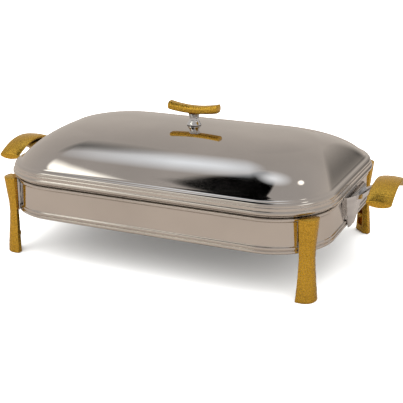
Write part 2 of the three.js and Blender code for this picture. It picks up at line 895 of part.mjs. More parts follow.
function addBody() {
  addMesh("body_shell", bodyShell(), STEEL);
  addMesh("base_plate", basePlate(), ZINC);
  addMesh("insulation_pad", insulationPad(), FIBRE);
  addMesh("heating_well", heatingWell(), STEEL);
  const seat = BODY_BOTTOM + SHEET;
  CORNERS.forEach((corner) => {
    const x = Math.sign(corner.x) * POST_X;
    const y = Math.sign(corner.y) * POST_Y;
    addMesh(`plate_post_${corner.name}`, post(), ZINC).position.set(x, y, 0);
    addMesh(`base_screw_${corner.name}`, screw(1.6, 8, 3.6, 2), ZINC).position.set(x, y, seat);
  });
}

function addHeater() {
  addMesh("heating_element", tube(elementRoute(), ELEMENT_RADIUS, 64), ZINC);
  ELEMENT_PASSES.slice(0, 2).forEach((y, i) => {
    addMesh(`element_clip_${i + 1}`, elementClip(), ALUMINIUM).position.set(i % 2 ? -56 : 56, y, 0);
  });
  addMesh("thermostat", thermostat(), CERAMIC).position.set(0, 44, 0);
  addMesh("thermal_fuse", thermalFuse(), CERAMIC).position.set(-40, 44, 0);
  addMesh("terminal_block", terminalBlock(), CERAMIC).position.set(60, 96, BASE_TOP + 4.3);
}

function addRear() {
  const inlet = new THREE.Group();
  inlet.position.set(INLET_X, 0, REAR_HEIGHT);
  group.add(inlet);
  addMesh("power_inlet", powerInlet(), BLACK_PLASTIC, inlet);
  PINS.forEach(([name, x, z]) => addMesh(name, pinBlock(x, z), BRASS, inlet));
  addMesh("switch_frame", switchFrame(), BLACK_PLASTIC).position.set(SWITCH_X, 0, REAR_HEIGHT);
  const key = addMesh("rocker", rocker(), BLACK_PLASTIC);
  key.position.set(SWITCH_X, ROCKER_PIVOT, REAR_HEIGHT);
  key.rotation.x = ROCKER_TILT;
  addMesh("pilot_lamp", pilotLamp(), AMBER).position.set(LAMP_X, 0, REAR_HEIGHT);
}

function addLegs() {
  CORNERS.forEach((corner) => {
    const stand = new THREE.Group();
    stand.position.set(corner.x, corner.y, 0);
    stand.rotation.z = corner.turn;
    group.add(stand);
    addMesh(`leg_${corner.name}`, leg(), GOLD, stand);
    addMesh(`leg_bracket_${corner.name}`, legBracket(), CHROME, stand);
    LEG_BOLT_HEIGHTS.forEach((height, i) => {
      addMesh(`leg_bolt_${corner.name}_${i + 1}`, legBolt(height), ZINC, stand);
    });
  });
}

function addSideHandles() {
  const boltSeat = BODY_LENGTH / 2 - SHEET - GAP;
  const screwSeat = GRIP_SEAT - TONGUE_THICKNESS - 2 * GAP;
  const bolt = screw(2, 6, 4, 2.8, 10).rotateY(Math.PI / 2).translate(boltSeat, 0, CORBEL_BOLT_HEIGHT);
  const gripScrew = screw(1.9, 6, 3.6, 2, 10).translate(GRIP_X, 0, screwSeat);
  for (const [side, put] of Object.entries({ right: (geometry) => geometry, left: mirrored })) {
    addMesh(`side_bracket_${side}`, put(corbel()), STEEL);
    addMesh(`grip_${side}`, put(grip()), GOLD);
    addMesh(`bracket_bolt_${side}`, put(bolt), ZINC);
    addMesh(`grip_screw_${side}`, put(gripScrew), ZINC);
  }
}

function addPanAndLid() {
  addMesh("food_pan", foodPan(), STEEL);
  addMesh("lid_shell", lidShell(), STEEL);
  addMesh("lid_stem", lidStem(), CHROME);
  addMesh("lid_bar", lidBar(), GOLD);
  addMesh("lid_washer", lidWasher(), ZINC);
  addMesh("lid_nut", lidNut(), ZINC);
}

addBody();
addHeater();
addRear();
LEADS.forEach(({ name, sleeve, route }) => addMesh(name, lead(route), sleeve));
addLegs();
addSideHandles();
addPanAndLid();

export default group;
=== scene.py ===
"""Looks of an electric buffet server: polished casing, domed lid and cast gold legs, round a CAD frame."""

import math

import bmesh
import bpy
from mathutils import Matrix, Vector


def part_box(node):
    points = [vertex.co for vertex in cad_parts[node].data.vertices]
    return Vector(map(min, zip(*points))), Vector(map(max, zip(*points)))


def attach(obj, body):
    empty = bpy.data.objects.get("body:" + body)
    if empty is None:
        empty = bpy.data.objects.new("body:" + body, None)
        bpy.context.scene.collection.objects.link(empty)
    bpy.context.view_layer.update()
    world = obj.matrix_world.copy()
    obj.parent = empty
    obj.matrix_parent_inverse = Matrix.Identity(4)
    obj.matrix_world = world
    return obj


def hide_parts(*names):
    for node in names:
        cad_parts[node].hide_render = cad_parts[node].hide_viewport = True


bl_info = {
    "name": "Electric buffet server",
    "version": (1, 0, 0),
    "blender": (4, 5, 0),
    "location": "View3D > Sidebar > Buffet server",
    "description": "Builds the visible surfaces of an electric buffet server round its CAD frame",
    "category": "Object",
}

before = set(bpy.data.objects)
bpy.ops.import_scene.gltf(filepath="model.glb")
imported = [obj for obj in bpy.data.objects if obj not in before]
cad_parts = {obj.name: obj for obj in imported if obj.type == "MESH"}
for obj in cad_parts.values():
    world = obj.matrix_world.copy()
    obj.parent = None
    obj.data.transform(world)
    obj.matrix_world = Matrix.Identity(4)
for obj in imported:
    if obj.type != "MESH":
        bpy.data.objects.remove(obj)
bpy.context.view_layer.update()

MM = 0.001

# ---- Sizes taken from the frame, in millimetres ----
body_low, body_high = (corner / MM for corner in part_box("body_shell"))
lid_low, lid_high = (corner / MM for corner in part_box("lid_shell"))
pan_low, pan_high = (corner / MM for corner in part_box("food_pan"))
well_low, well_high = (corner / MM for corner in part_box("heating_well"))
leg_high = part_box("leg_front_right")[1] / MM
grip_low, grip_high = (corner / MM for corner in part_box("grip_right"))
stem_low, stem_high = (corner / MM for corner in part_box("lid_stem"))
bar_low, bar_high = (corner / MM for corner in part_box("lid_bar"))

BEAD = 1.6  # how far a bead stands out of the casing's wall
SHEET = 1.0  # thickness of the steel sheet
GAP = 0.3  # clearance between pieces that touch
HALF_LENGTH = body_high.x - BEAD
HALF_DEPTH = body_high.y - BEAD
CORNER_RADIUS = 70.0
BODY_BOTTOM = body_low.z
BODY_TOP = body_high.z
FLANGE = 8.0
LEG_TURN = math.radians(42)  # a leg's direction from its plan corner
LEG_BACK = 73.3  # from a plan corner's centre to a leg's flat back
LEG_HEIGHT = leg_high.z
LEG_BOLT_HEIGHTS = (68.0, 84.0)
GRIP_X = (grip_low.x + grip_high.x) / 2
GRIP_SEAT = 105.5
TONGUE_HALF_WIDTH = 18.0
TONGUE_THICKNESS = 2.6
REAR_WALL = HALF_DEPTH
SPIGOT_HEIGHT = 4.0  # how far the stem reaches into the bar
STEM_TOP = stem_high.z - SPIGOT_HEIGHT
STEM_SEAT = lid_high.z + GAP

# Each plan corner's side of the casing along X and Y, and the bearing of its leg.
CORNERS = {
    "front_left": (-1, -1, math.pi + LEG_TURN),
    "front_right": (1, -1, -LEG_TURN),
    "rear_right": (1, 1, LEG_TURN),
    "rear_left": (-1, 1, math.pi - LEG_TURN),
}


# ---- The sizes and colours that a user would change ----
class BuffetLooks(bpy.types.PropertyGroup):
    """Colours and surface sizes of the buffet server."""

    steel_colour: bpy.props.FloatVectorProperty(
        name="Steel colour", description="Tint of the polished steel", subtype="COLOR",
        default=(0.66, 0.62, 0.58), min=0, max=1,
    )
    steel_roughness: bpy.props.FloatProperty(
        name="Steel roughness", description="How blurred the polished steel's reflections are",
        default=0.05, min=0, max=1, subtype="FACTOR",
    )
    gold_colour: bpy.props.FloatVectorProperty(
        name="Gold colour", description="Tint of the cast legs, grips and bar", subtype="COLOR",
        default=(0.74, 0.44, 0.06), min=0, max=1,
    )
    dimple_spacing: bpy.props.FloatProperty(
        name="Dimple spacing", description="Distance between two hammer marks on the castings",
        default=1.5 * MM, min=0.5 * MM, max=10 * MM, unit="LENGTH",
    )
    dimple_depth: bpy.props.FloatProperty(
        name="Dimple depth", description="Depth of a hammer mark on the castings",
        default=0.26 * MM, min=0, max=2 * MM, unit="LENGTH",
    )
    floor_colour: bpy.props.FloatVectorProperty(
        name="Floor colour", description="Colour of the plain floor", subtype="COLOR",
        default=(0.9, 0.9, 0.89), min=0, max=1,
    )


def looks():
    return bpy.context.scene.buffet_looks


# ---- Outlines ----
def toward(corner, other, distance):
    """The point up to `distance` from the corner on the way to the other point."""
    gap = math.dist(corner, other)
    share = min(distance, 0.48 * gap) / gap
    return tuple(a + (b - a) * share for a, b in zip(corner, other))


def weighed(weights, points):
    """The weighted sum of some points."""
    return tuple(sum(w * v for w, v in zip(weights, values)) for values in zip(*points))


def rounded(points, radius, closed=False, steps=4):
    """The outline with each corner replaced by a small curve that starts `radius` before it."""
    result = []
    last = len(points) - 1
    for i, corner in enumerate(points):
        if not closed and i in (0, last):
            result.append(corner)
            continue
        start = toward(corner, points[i - 1], radius)
        end = toward(corner, points[(i + 1) % len(points)], radius)
        for step in range(steps + 1):
            t = step / steps
            result.append(weighed(((1 - t) ** 2, 2 * t * (1 - t), t * t), (start, corner, end)))
    return result


def flowing(points):
    """A smooth cubic curve from the first point to the last, guided by those between."""
    steps = 6
    guide = [points[0]] * 2 + list(points) + [points[-1]] * 2
    result = []
    for group in zip(guide, guide[1:], guide[2:], guide[3:]):
        for step in range(steps):
            t = step / steps
            weights = (
                (1 - t) ** 3 / 6,
                (3 * t**3 - 6 * t**2 + 4) / 6,
                (1 + 3 * t + 3 * t**2 - 3 * t**3) / 6,
                t**3 / 6,
            )
            result.append(weighed(weights, group))
    return result + [tuple(points[-1])]


def smooth(t):
    """Eases a share from 0 to 1 in and out."""
    return t * t * (3 - 2 * t)


def between(rows, value):
    """The row of a table sorted by its first column, smoothly interpolated at a value of that column."""
    ease = 0.35
    for low, high in zip(rows, rows[1:]):
        if value <= high[0]:
            t = (value - low[0]) / (high[0] - low[0])
            t = smooth(t) * ease + t * (1 - ease)
            return [a + (b - a) * t for a, b in zip(low[1:], high[1:])]
    return list(rows[-1][1:])


CORNER_STEPS = 20
SIDE_STEPS = 12


def rounded_rectangle(half_x, half_y, radius, height):
    """A level ring of points, anticlockwise from the right end's rear corner."""
    corners = []
    for quarter, (sx, sy) in enumerate(((1, 1), (-1, 1), (-1, -1), (1, -1))):
        centre = Vector((sx * (half_x - radius), sy * (half_y - radius), height))
        angles = [(quarter + step / CORNER_STEPS) * math.pi / 2 for step in range(CORNER_STEPS + 1)]
        corners.append([centre + Vector((math.cos(a), math.sin(a), 0)) * radius for a in angles])
    ring = []
    for corner, following in zip(corners, corners[1:] + corners[:1]):
        ring.extend(corner)
        ring.extend(corner[-1].lerp(following[0], step / SIDE_STEPS) for step in range(1, SIDE_STEPS))
    return ring


def plan_ring(offset, height):
    """The casing's plan at a height, `offset` outside its wall."""
    radius = max(4.0, CORNER_RADIUS + offset)
    return rounded_rectangle(HALF_LENGTH + offset, HALF_DEPTH + offset, radius, height)


# ---- Meshes ----
def finished(mesh, crease=35):
    """Shades a mesh smoothly, apart from edges sharper than the crease angle."""
    mesh.polygons.foreach_set("use_smooth", [True] * len(mesh.polygons))
    mesh.set_sharp_from_angle(angle=math.radians(crease))
    return mesh


def new_mesh(name, vertices, faces, crease):
    """A closed mesh from points in millimetres, its faces turned outwards."""
    mesh = bpy.data.meshes.new(name)
    mesh.from_pydata([Vector(v) * MM for v in vertices], [], faces)
    work = bmesh.new()
    work.from_mesh(mesh)
    bmesh.ops.remove_doubles(work, verts=work.verts, dist=1e-7)
    bmesh.ops.recalc_face_normals(work, faces=work.faces)
    work.to_mesh(mesh)
    work.free()
    return finished(mesh, crease)


def loft(name, rings, endless=False, crease=35):
    """Skins rings of equal count, and closes the two ends unless the rings run round on themselves."""
    count = len(rings[0])
    vertices = [point for ring in rings for point in ring]
    faces = []
    for i in range(len(rings) if endless else len(rings) - 1):
        here, there = i * count, (i + 1) % len(rings) * count
        for j in range(count):
            k = (j + 1) % count
            faces.append((here + j, here + k, there + k, there + j))
    if not endless:
        faces.append(tuple(reversed(range(count))))
        faces.append(tuple(range(len(vertices) - count, len(vertices))))
    return new_mesh(name, vertices, faces, crease)


def lathe(name, profile, steps=48):
    """Turns a profile of [radius, height] round Z; radius 0 at an end closes it on the axis."""
    rings = []
    for radius, height in profile:
        r = max(radius, 0.001)
        angles = [2 * math.pi * step / steps for step in range(steps)]
        rings.append([(r * math.cos(a), r * math.sin(a), height) for a in angles])
    return loft(name, rings)


def rod(name, radius, low, high):
    """A plain round bar along Z."""
    return lathe(name, [(0, low), (radius, low), (radius, high), (0, high)])


def box_mesh(name, low, high):
    """A plain box, used to cut other meshes."""
    corners = ((low[0], low[1]), (high[0], low[1]), (high[0], high[1]), (low[0], high[1]))
    return loft(name, [[(x, y, z) for x, y in corners] for z in (low[2], high[2])])


def placed(mesh, turn=0.0, shift=(0, 0, 0), axis="Z"):
    """The mesh turned about an axis and then moved, in millimetres."""
    mesh.transform(Matrix.Translation(Vector(shift) * MM) @ Matrix.Rotation(turn, 4, axis))
    return mesh


def shown(mesh, material=None):
    """An object at the origin that holds the mesh."""
    piece = bpy.data.objects.new(mesh.name, mesh)
    bpy.context.scene.collection.objects.link(piece)
    if material is not None:
        mesh.materials.clear()
        mesh.materials.append(material)
    return piece


def as_mesh(piece, name):
    """The object's evaluated result as a plain mesh; the object is removed."""
    graph = bpy.context.evaluated_depsgraph_get()
    mesh = bpy.data.meshes.new_from_object(piece.evaluated_get(graph))
    bpy.data.objects.remove(piece)
    mesh.name = name
    return mesh


def combined(mesh, others, operation, crease=35):
    """The mesh after each of the others is cut from it or joined to it."""
    base = shown(mesh)
    tools = []
    for other in others:
        tool = shown(other)
        change = base.modifiers.new("change", "BOOLEAN")
        change.operation = operation
        change.object = tool
        tools.append(tool)
    result = as_mesh(base, mesh.name)
    for tool in tools:
        bpy.data.objects.remove(tool)
    return finished(result, crease)


def add_piece(mesh, finish, body, *nodes):
    """Shows a mesh in its finish, rides it on its body and lets it stand for its CAD nodes."""
    piece = shown(mesh, material(finish))
    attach(piece, body)
    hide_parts(*nodes)


def softened(node, name, finish, width, body="housing"):
    """A CAD node's copy with its coplanar triangles merged and its edges rounded over."""
    crease = 30
    work = bmesh.new()
    work.from_mesh(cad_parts[node].data)
    bmesh.ops.remove_doubles(work, verts=work.verts, dist=1e-6)
    bmesh.ops.dissolve_limit(work, angle_limit=math.radians(1), verts=work.verts, edges=work.edges)
    mesh = bpy.data.meshes.new(name)
    work.to_mesh(mesh)
    work.free()
    holder = shown(mesh)
    bevel = holder.modifiers.new("edges", "BEVEL")
    bevel.width = width * MM
    bevel.segments = 2
    bevel.limit_method = "ANGLE"
    bevel.angle_limit = math.radians(crease)
    bevel.use_clamp_overlap = True
    add_piece(finished(as_mesh(holder, name), crease), finish, body, node)


# ---- Materials ----
class Finish:
    """A node material round one Principled shader, with short calls for its pattern nodes."""

    def __init__(self, name, metallic, roughness):
        self.material = bpy.data.materials.new(name)
        self.material.use_nodes = True
        self.nodes = self.material.node_tree.nodes
        self.links = self.material.node_tree.links
        self.shader = self.nodes["Principled BSDF"]
        self.shader.inputs["Metallic"].default_value = metallic
        self.shader.inputs["Roughness"].default_value = roughness
        self.place = self.nodes.new("ShaderNodeTexCoord").outputs["Object"]

    def noise(self, scale, detail, stretch=(1, 1, 1)):
        """Noise over the object's own coordinates, `scale` patches to the metre."""
        mapping = self.nodes.new("ShaderNodeMapping")
        mapping.inputs["Scale"].default_value = stretch
        self.links.new(self.place, mapping.inputs["Vector"])
        noise = self.nodes.new("ShaderNodeTexNoise")
        noise.inputs["Scale"].default_value = scale
        noise.inputs["Detail"].default_value = detail
        self.links.new(mapping.outputs["Vector"], noise.inputs["Vector"])
        return noise.outputs["Fac"]

    def cells(self, scale):
        """Rounded cells like hammer marks, `scale` cells to the metre."""
        cells = self.nodes.new("ShaderNodeTexVoronoi")
        cells.feature = "SMOOTH_F1"
        cells.inputs["Scale"].default_value = scale
        cells.inputs["Smoothness"].default_value = 0.6
        self.links.new(self.place, cells.inputs["Vector"])
        return cells.outputs["Distance"]

    def spread(self, pattern, low, high):
        """The middle of the pattern's range, as a number from low to high."""
        node = self.nodes.new("ShaderNodeMapRange")
        for socket, value in (("From Min", 0.35), ("From Max", 0.65), ("To Min", low), ("To Max", high)):
            node.inputs[socket].default_value = value
        self.links.new(pattern, node.inputs["Value"])
        return node.outputs["Result"]

    def tints(self, pattern, first, second):
        """The base colour moves from the first colour to the second with the pattern."""
        mix = self.nodes.new("ShaderNodeMix")
        mix.data_type = "RGBA"
        mix.inputs["A"].default_value = (*first, 1)
        mix.inputs["B"].default_value = (*second, 1)
        self.links.new(self.spread(pattern, 0, 1), mix.inputs["Factor"])
        self.links.new(mix.outputs["Result"], self.shader.inputs["Base Color"])

    def rough(self, pattern, low, high):
        """Roughness from low to high with the pattern."""
        self.links.new(self.spread(pattern, low, high), self.shader.inputs["Roughness"])

    def bump(self, pattern, height, strength, under=None):
        """Bump of that height in millimetres, over another bump where one is given."""
        node = self.nodes.new("ShaderNodeBump")
        node.inputs["Strength"].default_value = strength
        node.inputs["Distance"].default_value = height * MM
        self.links.new(pattern, node.inputs["Height"])
        if under is not None:
            self.links.new(under, node.inputs["Normal"])
        self.links.new(node.outputs["Normal"], self.shader.inputs["Normal"])
        return node.outputs["Normal"]


def scaled(colour, factor):
    return tuple(min(1.0, channel * factor) for channel in colour)


def polished_steel():
    """Mirror-polished sheet: faint waves from pressing, and a haze of wiping marks."""
    colour = looks().steel_colour
    rough = looks().steel_roughness
    finish = Finish("polished_steel", 1.0, rough)
    finish.tints(finish.noise(9, 3), scaled(colour, 0.94), scaled(colour, 1.05))
    finish.rough(finish.noise(28, 6, (1, 1, 3)), rough * 0.6, rough * 1.5)
    finish.bump(finish.noise(7, 1), 0.35, 0.5)
    return finish.material


def base_steel():
    """Zinc-coated sheet with a grey spangle."""
    finish = Finish("base_steel", 1.0, 0.4)
    finish.tints(finish.cells(220), (0.50, 0.51, 0.52), (0.57, 0.58, 0.59))
    finish.rough(finish.noise(90, 3), 0.32, 0.5)
    finish.bump(finish.noise(700, 2), 0.02, 0.4)
    return finish.material


def gold_casting():
    """Gold plate over a hammered casting: hammer marks in its bump, and a tint and a roughness that vary at
    random.
    """
    colour = looks().gold_colour
    finish = Finish("gold_casting", 1.0, 0.28)
    finish.tints(finish.noise(700, 4), scaled(colour, 0.72), scaled(colour, 1.15))
    finish.rough(finish.noise(520, 4), 0.16, 0.34)
    marks = finish.bump(finish.cells(900), 0.16, 0.5)
    finish.bump(finish.noise(2600, 2), 0.03, 0.4, under=marks)
    return finish.material


def amber_lens():
    """Moulded amber lens over an unlit lamp."""
    finish = Finish("amber_lens", 0.0, 0.12)
    finish.tints(finish.noise(160, 2), (0.45, 0.12, 0.01), (0.55, 0.18, 0.02))
    finish.rough(finish.noise(400, 2), 0.08, 0.18)
    finish.bump(finish.cells(600), 0.1, 0.3)
    finish.shader.inputs["Transmission Weight"].default_value = 0.35
    finish.shader.inputs["IOR"].default_value = 1.5
    return finish.material


def woven_sleeve(colour):
    """The settings of a lead's heat-proof sleeve, in the order of NOISE_FINISHES."""
    return (
        0.0,
        0.6,
        ((400, 3), scaled(colour, 0.75), scaled(colour, 1.2)),
        ((700, 2), 0.5, 0.75),
        ((2400, 2), 0.08, 0.6),
    )


# The finishes that need only noise: metallic, roughness, then the patterns of tint, roughness and bump.
# A pattern starts with its noise: scale, detail and, where it is drawn out, stretch. After that come the
# two colours, the two roughness values, or the bump's height in millimetres and its strength.
NOISE_FINISHES = {
    "satin_steel": (
        1.0,
        0.25,
        ((12, 4), (0.56, 0.54, 0.51), (0.66, 0.64, 0.61)),
        ((60, 6, (0.2, 4, 4)), 0.18, 0.34),
        ((900, 2, (0.03, 1, 1)), 0.02, 0.4),
    ),
    "chrome": (
        1.0,
        0.05,
        ((40, 2), (0.72, 0.73, 0.75), (0.80, 0.81, 0.83)),
        ((120, 4), 0.02, 0.07),
        ((160, 1), 0.04, 0.5),
    ),
    "zinc_fastener": (
        1.0,
        0.35,
        ((500, 3), (0.50, 0.51, 0.52), (0.66, 0.67, 0.69)),
        ((900, 2), 0.28, 0.45),
        ((1500, 2), 0.02, 0.4),
    ),
    "element_sheath": (
        1.0,
        0.45,
        ((45, 4), (0.22, 0.19, 0.17), (0.38, 0.35, 0.33)),
        ((300, 3), 0.38, 0.6),
        ((1200, 3), 0.04, 0.5),
    ),
    "aluminium": (
        1.0,
        0.4,
        ((150, 3), (0.70, 0.71, 0.72), (0.80, 0.81, 0.82)),
        ((400, 3, (1, 0.1, 1)), 0.32, 0.5),
        ((1500, 2, (1, 0.05, 1)), 0.02, 0.4),
    ),
    "ceramic": (
        0.0,
        0.6,
        ((260, 4), (0.74, 0.70, 0.61), (0.85, 0.82, 0.75)),
        ((400, 3), 0.5, 0.75),
        ((2200, 3), 0.06, 0.5),
    ),
    "mineral_fibre": (
        0.0,
        0.95,
        ((220, 6), (0.52, 0.47, 0.34), (0.72, 0.68, 0.55)),
        ((300, 3), 0.88, 1.0),
        ((700, 6), 0.6, 0.8),
    ),
    "black_plastic": (
        0.0,
        0.42,
        ((80, 3), (0.012, 0.012, 0.013), (0.022, 0.022, 0.024)),
        ((500, 3), 0.34, 0.52),
        ((3000, 2), 0.03, 0.5),
    ),
    "brass_pin": (
        1.0,
        0.25,
        ((300, 3), (0.62, 0.44, 0.16), (0.75, 0.56, 0.24)),
        ((600, 3), 0.2, 0.36),
        ((1800, 2), 0.02, 0.4),
    ),
    "live_sleeve": woven_sleeve((0.15, 0.05, 0.02)),
    "neutral_sleeve": woven_sleeve((0.03, 0.11, 0.35)),
    "earth_sleeve": woven_sleeve((0.2, 0.42, 0.05)),
}


def noise_finish(name, metallic, roughness, tint, rough, bump):
    finish = Finish(name, metallic, roughness)
    finish.tints(finish.noise(*tint[0]), *tint[1:])
    finish.rough(finish.noise(*rough[0]), *rough[1:])
    finish.bump(finish.noise(*bump[0]), *bump[1:])
    return finish.material


PATTERNED_FINISHES = {make.__name__: make for make in (polished_steel, base_steel, gold_casting, amber_lens)}
MATERIALS = {}


def material(name):
    """Makes a finish once, and gives it back after that."""
    if name not in MATERIALS:
        make = PATTERNED_FINISHES.get(name)
        MATERIALS[name] = make() if make else noise_finish(name, *NOISE_FINISHES[name])
    return MATERIALS[name]


# ---- Geometry Nodes ----
class TreeMaker:
    """A Geometry Nodes tree under construction, with named inputs."""

    def __init__(self, name, inputs):
        self.tree = bpy.data.node_groups.new(name, "GeometryNodeTree")
        self.tree.interface.new_socket("Geometry", in_out="INPUT", socket_type="NodeSocketGeometry")
        for label, kind in inputs.items():
            self.tree.interface.new_socket(label, in_out="INPUT", socket_type="NodeSocket" + kind)
        self.tree.interface.new_socket("Geometry", in_out="OUTPUT", socket_type="NodeSocketGeometry")
        self.given = self.tree.nodes.new("NodeGroupInput").outputs

    def add(self, kind, values=None, **settings):
        """A node with its settings, and its inputs linked or set by name or number."""
        node = self.tree.nodes.new(kind)
        for setting, value in settings.items():
            setattr(node, setting, value)
        for key, value in (values or {}).items():
            if isinstance(value, bpy.types.NodeSocket):
                self.tree.links.new(value, node.inputs[key])
            else:
                node.inputs[key].default_value = value
        return node

    def math(self, operation, first, second):
        return self.add("ShaderNodeMath", {0: first, 1: second}, operation=operation).outputs[0]

    def vector(self, operation, first, second):
        """Vector maths; a number scales."""
        key = "Scale" if operation == "SCALE" else 1
        node = self.add("ShaderNodeVectorMath", {0: first, key: second}, operation=operation)
        return node.outputs["Vector"]

    def attribute(self, name, kind="FLOAT"):
        node = self.add("GeometryNodeInputNamedAttribute", {"Name": name}, data_type=kind)
        return next(o for o in node.outputs if o.enabled and o.name == "Attribute")

    def close(self, geometry):
        """Ends the tree in Realize Instances and Set Material."""
        real = self.add("GeometryNodeRealizeInstances", {"Geometry": geometry})
        painted = self.add(
            "GeometryNodeSetMaterial", {"Geometry": real.outputs[0], "Material": self.given["Material"]}
        )
        self.add("NodeGroupOutput", {0: painted.outputs[0]})
        return self.tree


def made_by(tree, source, values, name, crease=35):
    """Runs a tree on the source object and gives the result as a plain mesh."""
    modifier = source.modifiers.new("maker", "NODES")
    modifier.node_group = tree
    for item in tree.interface.items_tree:
        if item.in_out == "INPUT" and item.name in values:
            modifier[item.identifier] = values[item.name]
    return finished(as_mesh(source, name), crease)


def hammering_tree():
    """Presses rounded marks into a skin along its normals, as deep as its `hammer` attribute says."""
    maker = TreeMaker(
        "hammering", {"Spacing": "Float", "Depth": "Float", "Seed": "Float", "Material": "Material"}
    )
    given = maker.given
    position = maker.add("GeometryNodeInputPosition").outputs[0]
    seed = maker.add("ShaderNodeCombineXYZ", {"X": given["Seed"]}).outputs[0]
    shifted = maker.vector("ADD", position, seed)
    scale = maker.math("DIVIDE", 1.0, given["Spacing"])
    voronoi = maker.add(
        "ShaderNodeTexVoronoi", {"Vector": shifted, "Scale": scale, "Smoothness": 0.35}, feature="SMOOTH_F1"
    )
    dent = maker.math("SUBTRACT", voronoi.outputs["Distance"], 0.5)
    depth = maker.math("MULTIPLY", given["Depth"], maker.attribute("hammer"))
    push = maker.math("MULTIPLY", dent, depth)
    normal = maker.add("GeometryNodeInputNormal").outputs["Normal"]
    moved = maker.add(
        "GeometryNodeSetPosition",
        {"Geometry": given["Geometry"], "Offset": maker.vector("SCALE", normal, push)},
    )
    return maker.close(moved.outputs[0])


SCREW_PARTS = ("Shank Radius", "Shank Length", "Head Radius", "Head Height", "Socket Radius")


def fastener_tree():
    """Socketed pan-head screws on loose points, each with its shank along the point's heading."""
    maker = TreeMaker("fasteners", {**{part: "Float" for part in SCREW_PARTS}, "Material": "Material"})
    given = maker.given

    def drum(radius, top_radius, depth, middle, sides):
        cone = maker.add(
            "GeometryNodeMeshCone",
            {"Vertices": sides, "Radius Bottom": radius, "Radius Top": top_radius, "Depth": depth},
        )
        lift = maker.add("ShaderNodeCombineXYZ", {"Z": middle}).outputs[0]
        moved = maker.add("GeometryNodeTransform", {"Geometry": cone.outputs[0], "Translation": lift})
        return moved.outputs[0]

    head = given["Head Height"]
    body_height = maker.math("MULTIPLY", head, 0.6)
    crown_height = maker.math("MULTIPLY", head, 0.4)
    crown_radius = maker.math("MULTIPLY", given["Head Radius"], 0.8)
    head_radius, socket_radius = given["Head Radius"], given["Socket Radius"]
    low_drum = drum(head_radius, head_radius, body_height, maker.math("MULTIPLY", body_height, -1), 32)
    crown = drum(crown_radius, head_radius, crown_height, maker.math("MULTIPLY", head, -1), 32)
    socket = drum(socket_radius, socket_radius, head, maker.math("MULTIPLY", head, -1.5), 6)
    shank = drum(given["Shank Radius"], given["Shank Radius"], given["Shank Length"], 0.0, 24)
    solid = maker.add("GeometryNodeMeshBoolean", operation="UNION")
    for part in (low_drum, crown, shank):
        maker.tree.links.new(part, solid.inputs["Mesh 2"])
    pair = {"Mesh 1": solid.outputs[0], "Mesh 2": socket}
    cut = maker.add("GeometryNodeMeshBoolean", pair, operation="DIFFERENCE")
    turn = maker.add(
        "FunctionNodeAlignRotationToVector", {"Vector": maker.attribute("heading", "FLOAT_VECTOR")}, axis="Z"
    )
    placed_screws = maker.add(
        "GeometryNodeInstanceOnPoints",
        {"Points": given["Geometry"], "Instance": cut.outputs[0], "Rotation": turn.outputs[0]},
    )
    return maker.close(placed_screws.outputs[0])


def sheath_tree():
    """A round tube along a curve, closed at both ends."""
    maker = TreeMaker("sheath", {"Radius": "Float", "Material": "Material"})
    ring = maker.add("GeometryNodeCurvePrimitiveCircle", {"Resolution": 20, "Radius": maker.given["Radius"]})
    skin = maker.add(
        "GeometryNodeCurveToMesh",
        {"Curve": maker.given["Geometry"], "Profile Curve": ring.outputs[0], "Fill Caps": True},
    )
    return maker.close(skin.outputs[0])


TREES = {}


def tree(make):
    """Builds a tree once, and gives it back after that."""
    if make not in TREES:
        TREES[make] = make()
    return TREES[make]


def hammered(mesh, seed, name):
    """The mesh with hammer marks where its `hammer` attribute is above zero."""
    values = {
        "Spacing": looks().dimple_spacing,
        "Depth": looks().dimple_depth,
        "Seed": seed,
        "Material": material("gold_casting"),
    }
    return made_by(tree(hammering_tree), shown(mesh), values, name, crease=50)


def hammer_where(mesh, strength):
    """Sets how deep the marks are at each point from its place in millimetres."""
    layer = mesh.attributes.new("hammer", "FLOAT", "POINT")
    layer.data.foreach_set("value", [strength(v.co / MM) for v in mesh.vertices])
    return mesh


def fade(distance, width):
    """0 at or below zero distance, rising smoothly to 1 at the width."""
    return smooth(max(0.0, min(1.0, distance / width)))


# ---- Casing ----
def rear_cutters():
    """Boxes and a rod where the inlet, the switch and the lamp pass through the rear wall."""
    reach, lamp_hole = 4, 4.8
    cutters = []
    for node, rim in (("power_inlet", 1.7), ("switch_frame", 1.2)):
        low, high = (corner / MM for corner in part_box(node))
        near = (low.x + rim, REAR_WALL - reach, low.z + rim)
        far = (high.x - rim, REAR_WALL + reach, high.z - rim)
        cutters.append(box_mesh("opening", near, far))
    lamp = rod("opening", lamp_hole, -reach, reach)
    cutters.append(placed(lamp, math.pi / 2, lamp_place(), "X"))
    return cutters


def lamp_place():
    """Where the pilot lamp's axis meets the rear wall."""
    low, high = (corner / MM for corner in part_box("pilot_lamp"))
    return (low.x + high.x) / 2, REAR_WALL, (low.z + high.z) / 2


def casing_mesh():
    """The casing's wall, with a double bead at its foot, one under its rim and a flange at both."""
    z0, z1 = BODY_BOTTOM, BODY_TOP
    profile = [
        (-SHEET - FLANGE, z0),
        (0, z0),
        (BEAD, z0 + 0.8),
        (BEAD, z0 + 3.3),
        (0.1, z0 + 4.2),
        (BEAD, z0 + 5.1),
        (BEAD, z0 + 7.6),
        (0, z0 + 8.6),
        (0, z1 - 4.3),
        (BEAD, z1 - 3.4),
        (BEAD, z1 - 0.8),
        (0.4, z1),
        (-FLANGE, z1),
        (-FLANGE, z1 - SHEET),
        (-SHEET, z1 - SHEET),
        (-SHEET, z0 + SHEET),
        (-SHEET - FLANGE, z0 + SHEET),
    ]
    rings = [plan_ring(offset, height) for offset, height in rounded(profile, 0.9, closed=True)]
    return combined(loft("casing", rings, endless=True), rear_cutters(), "DIFFERENCE")


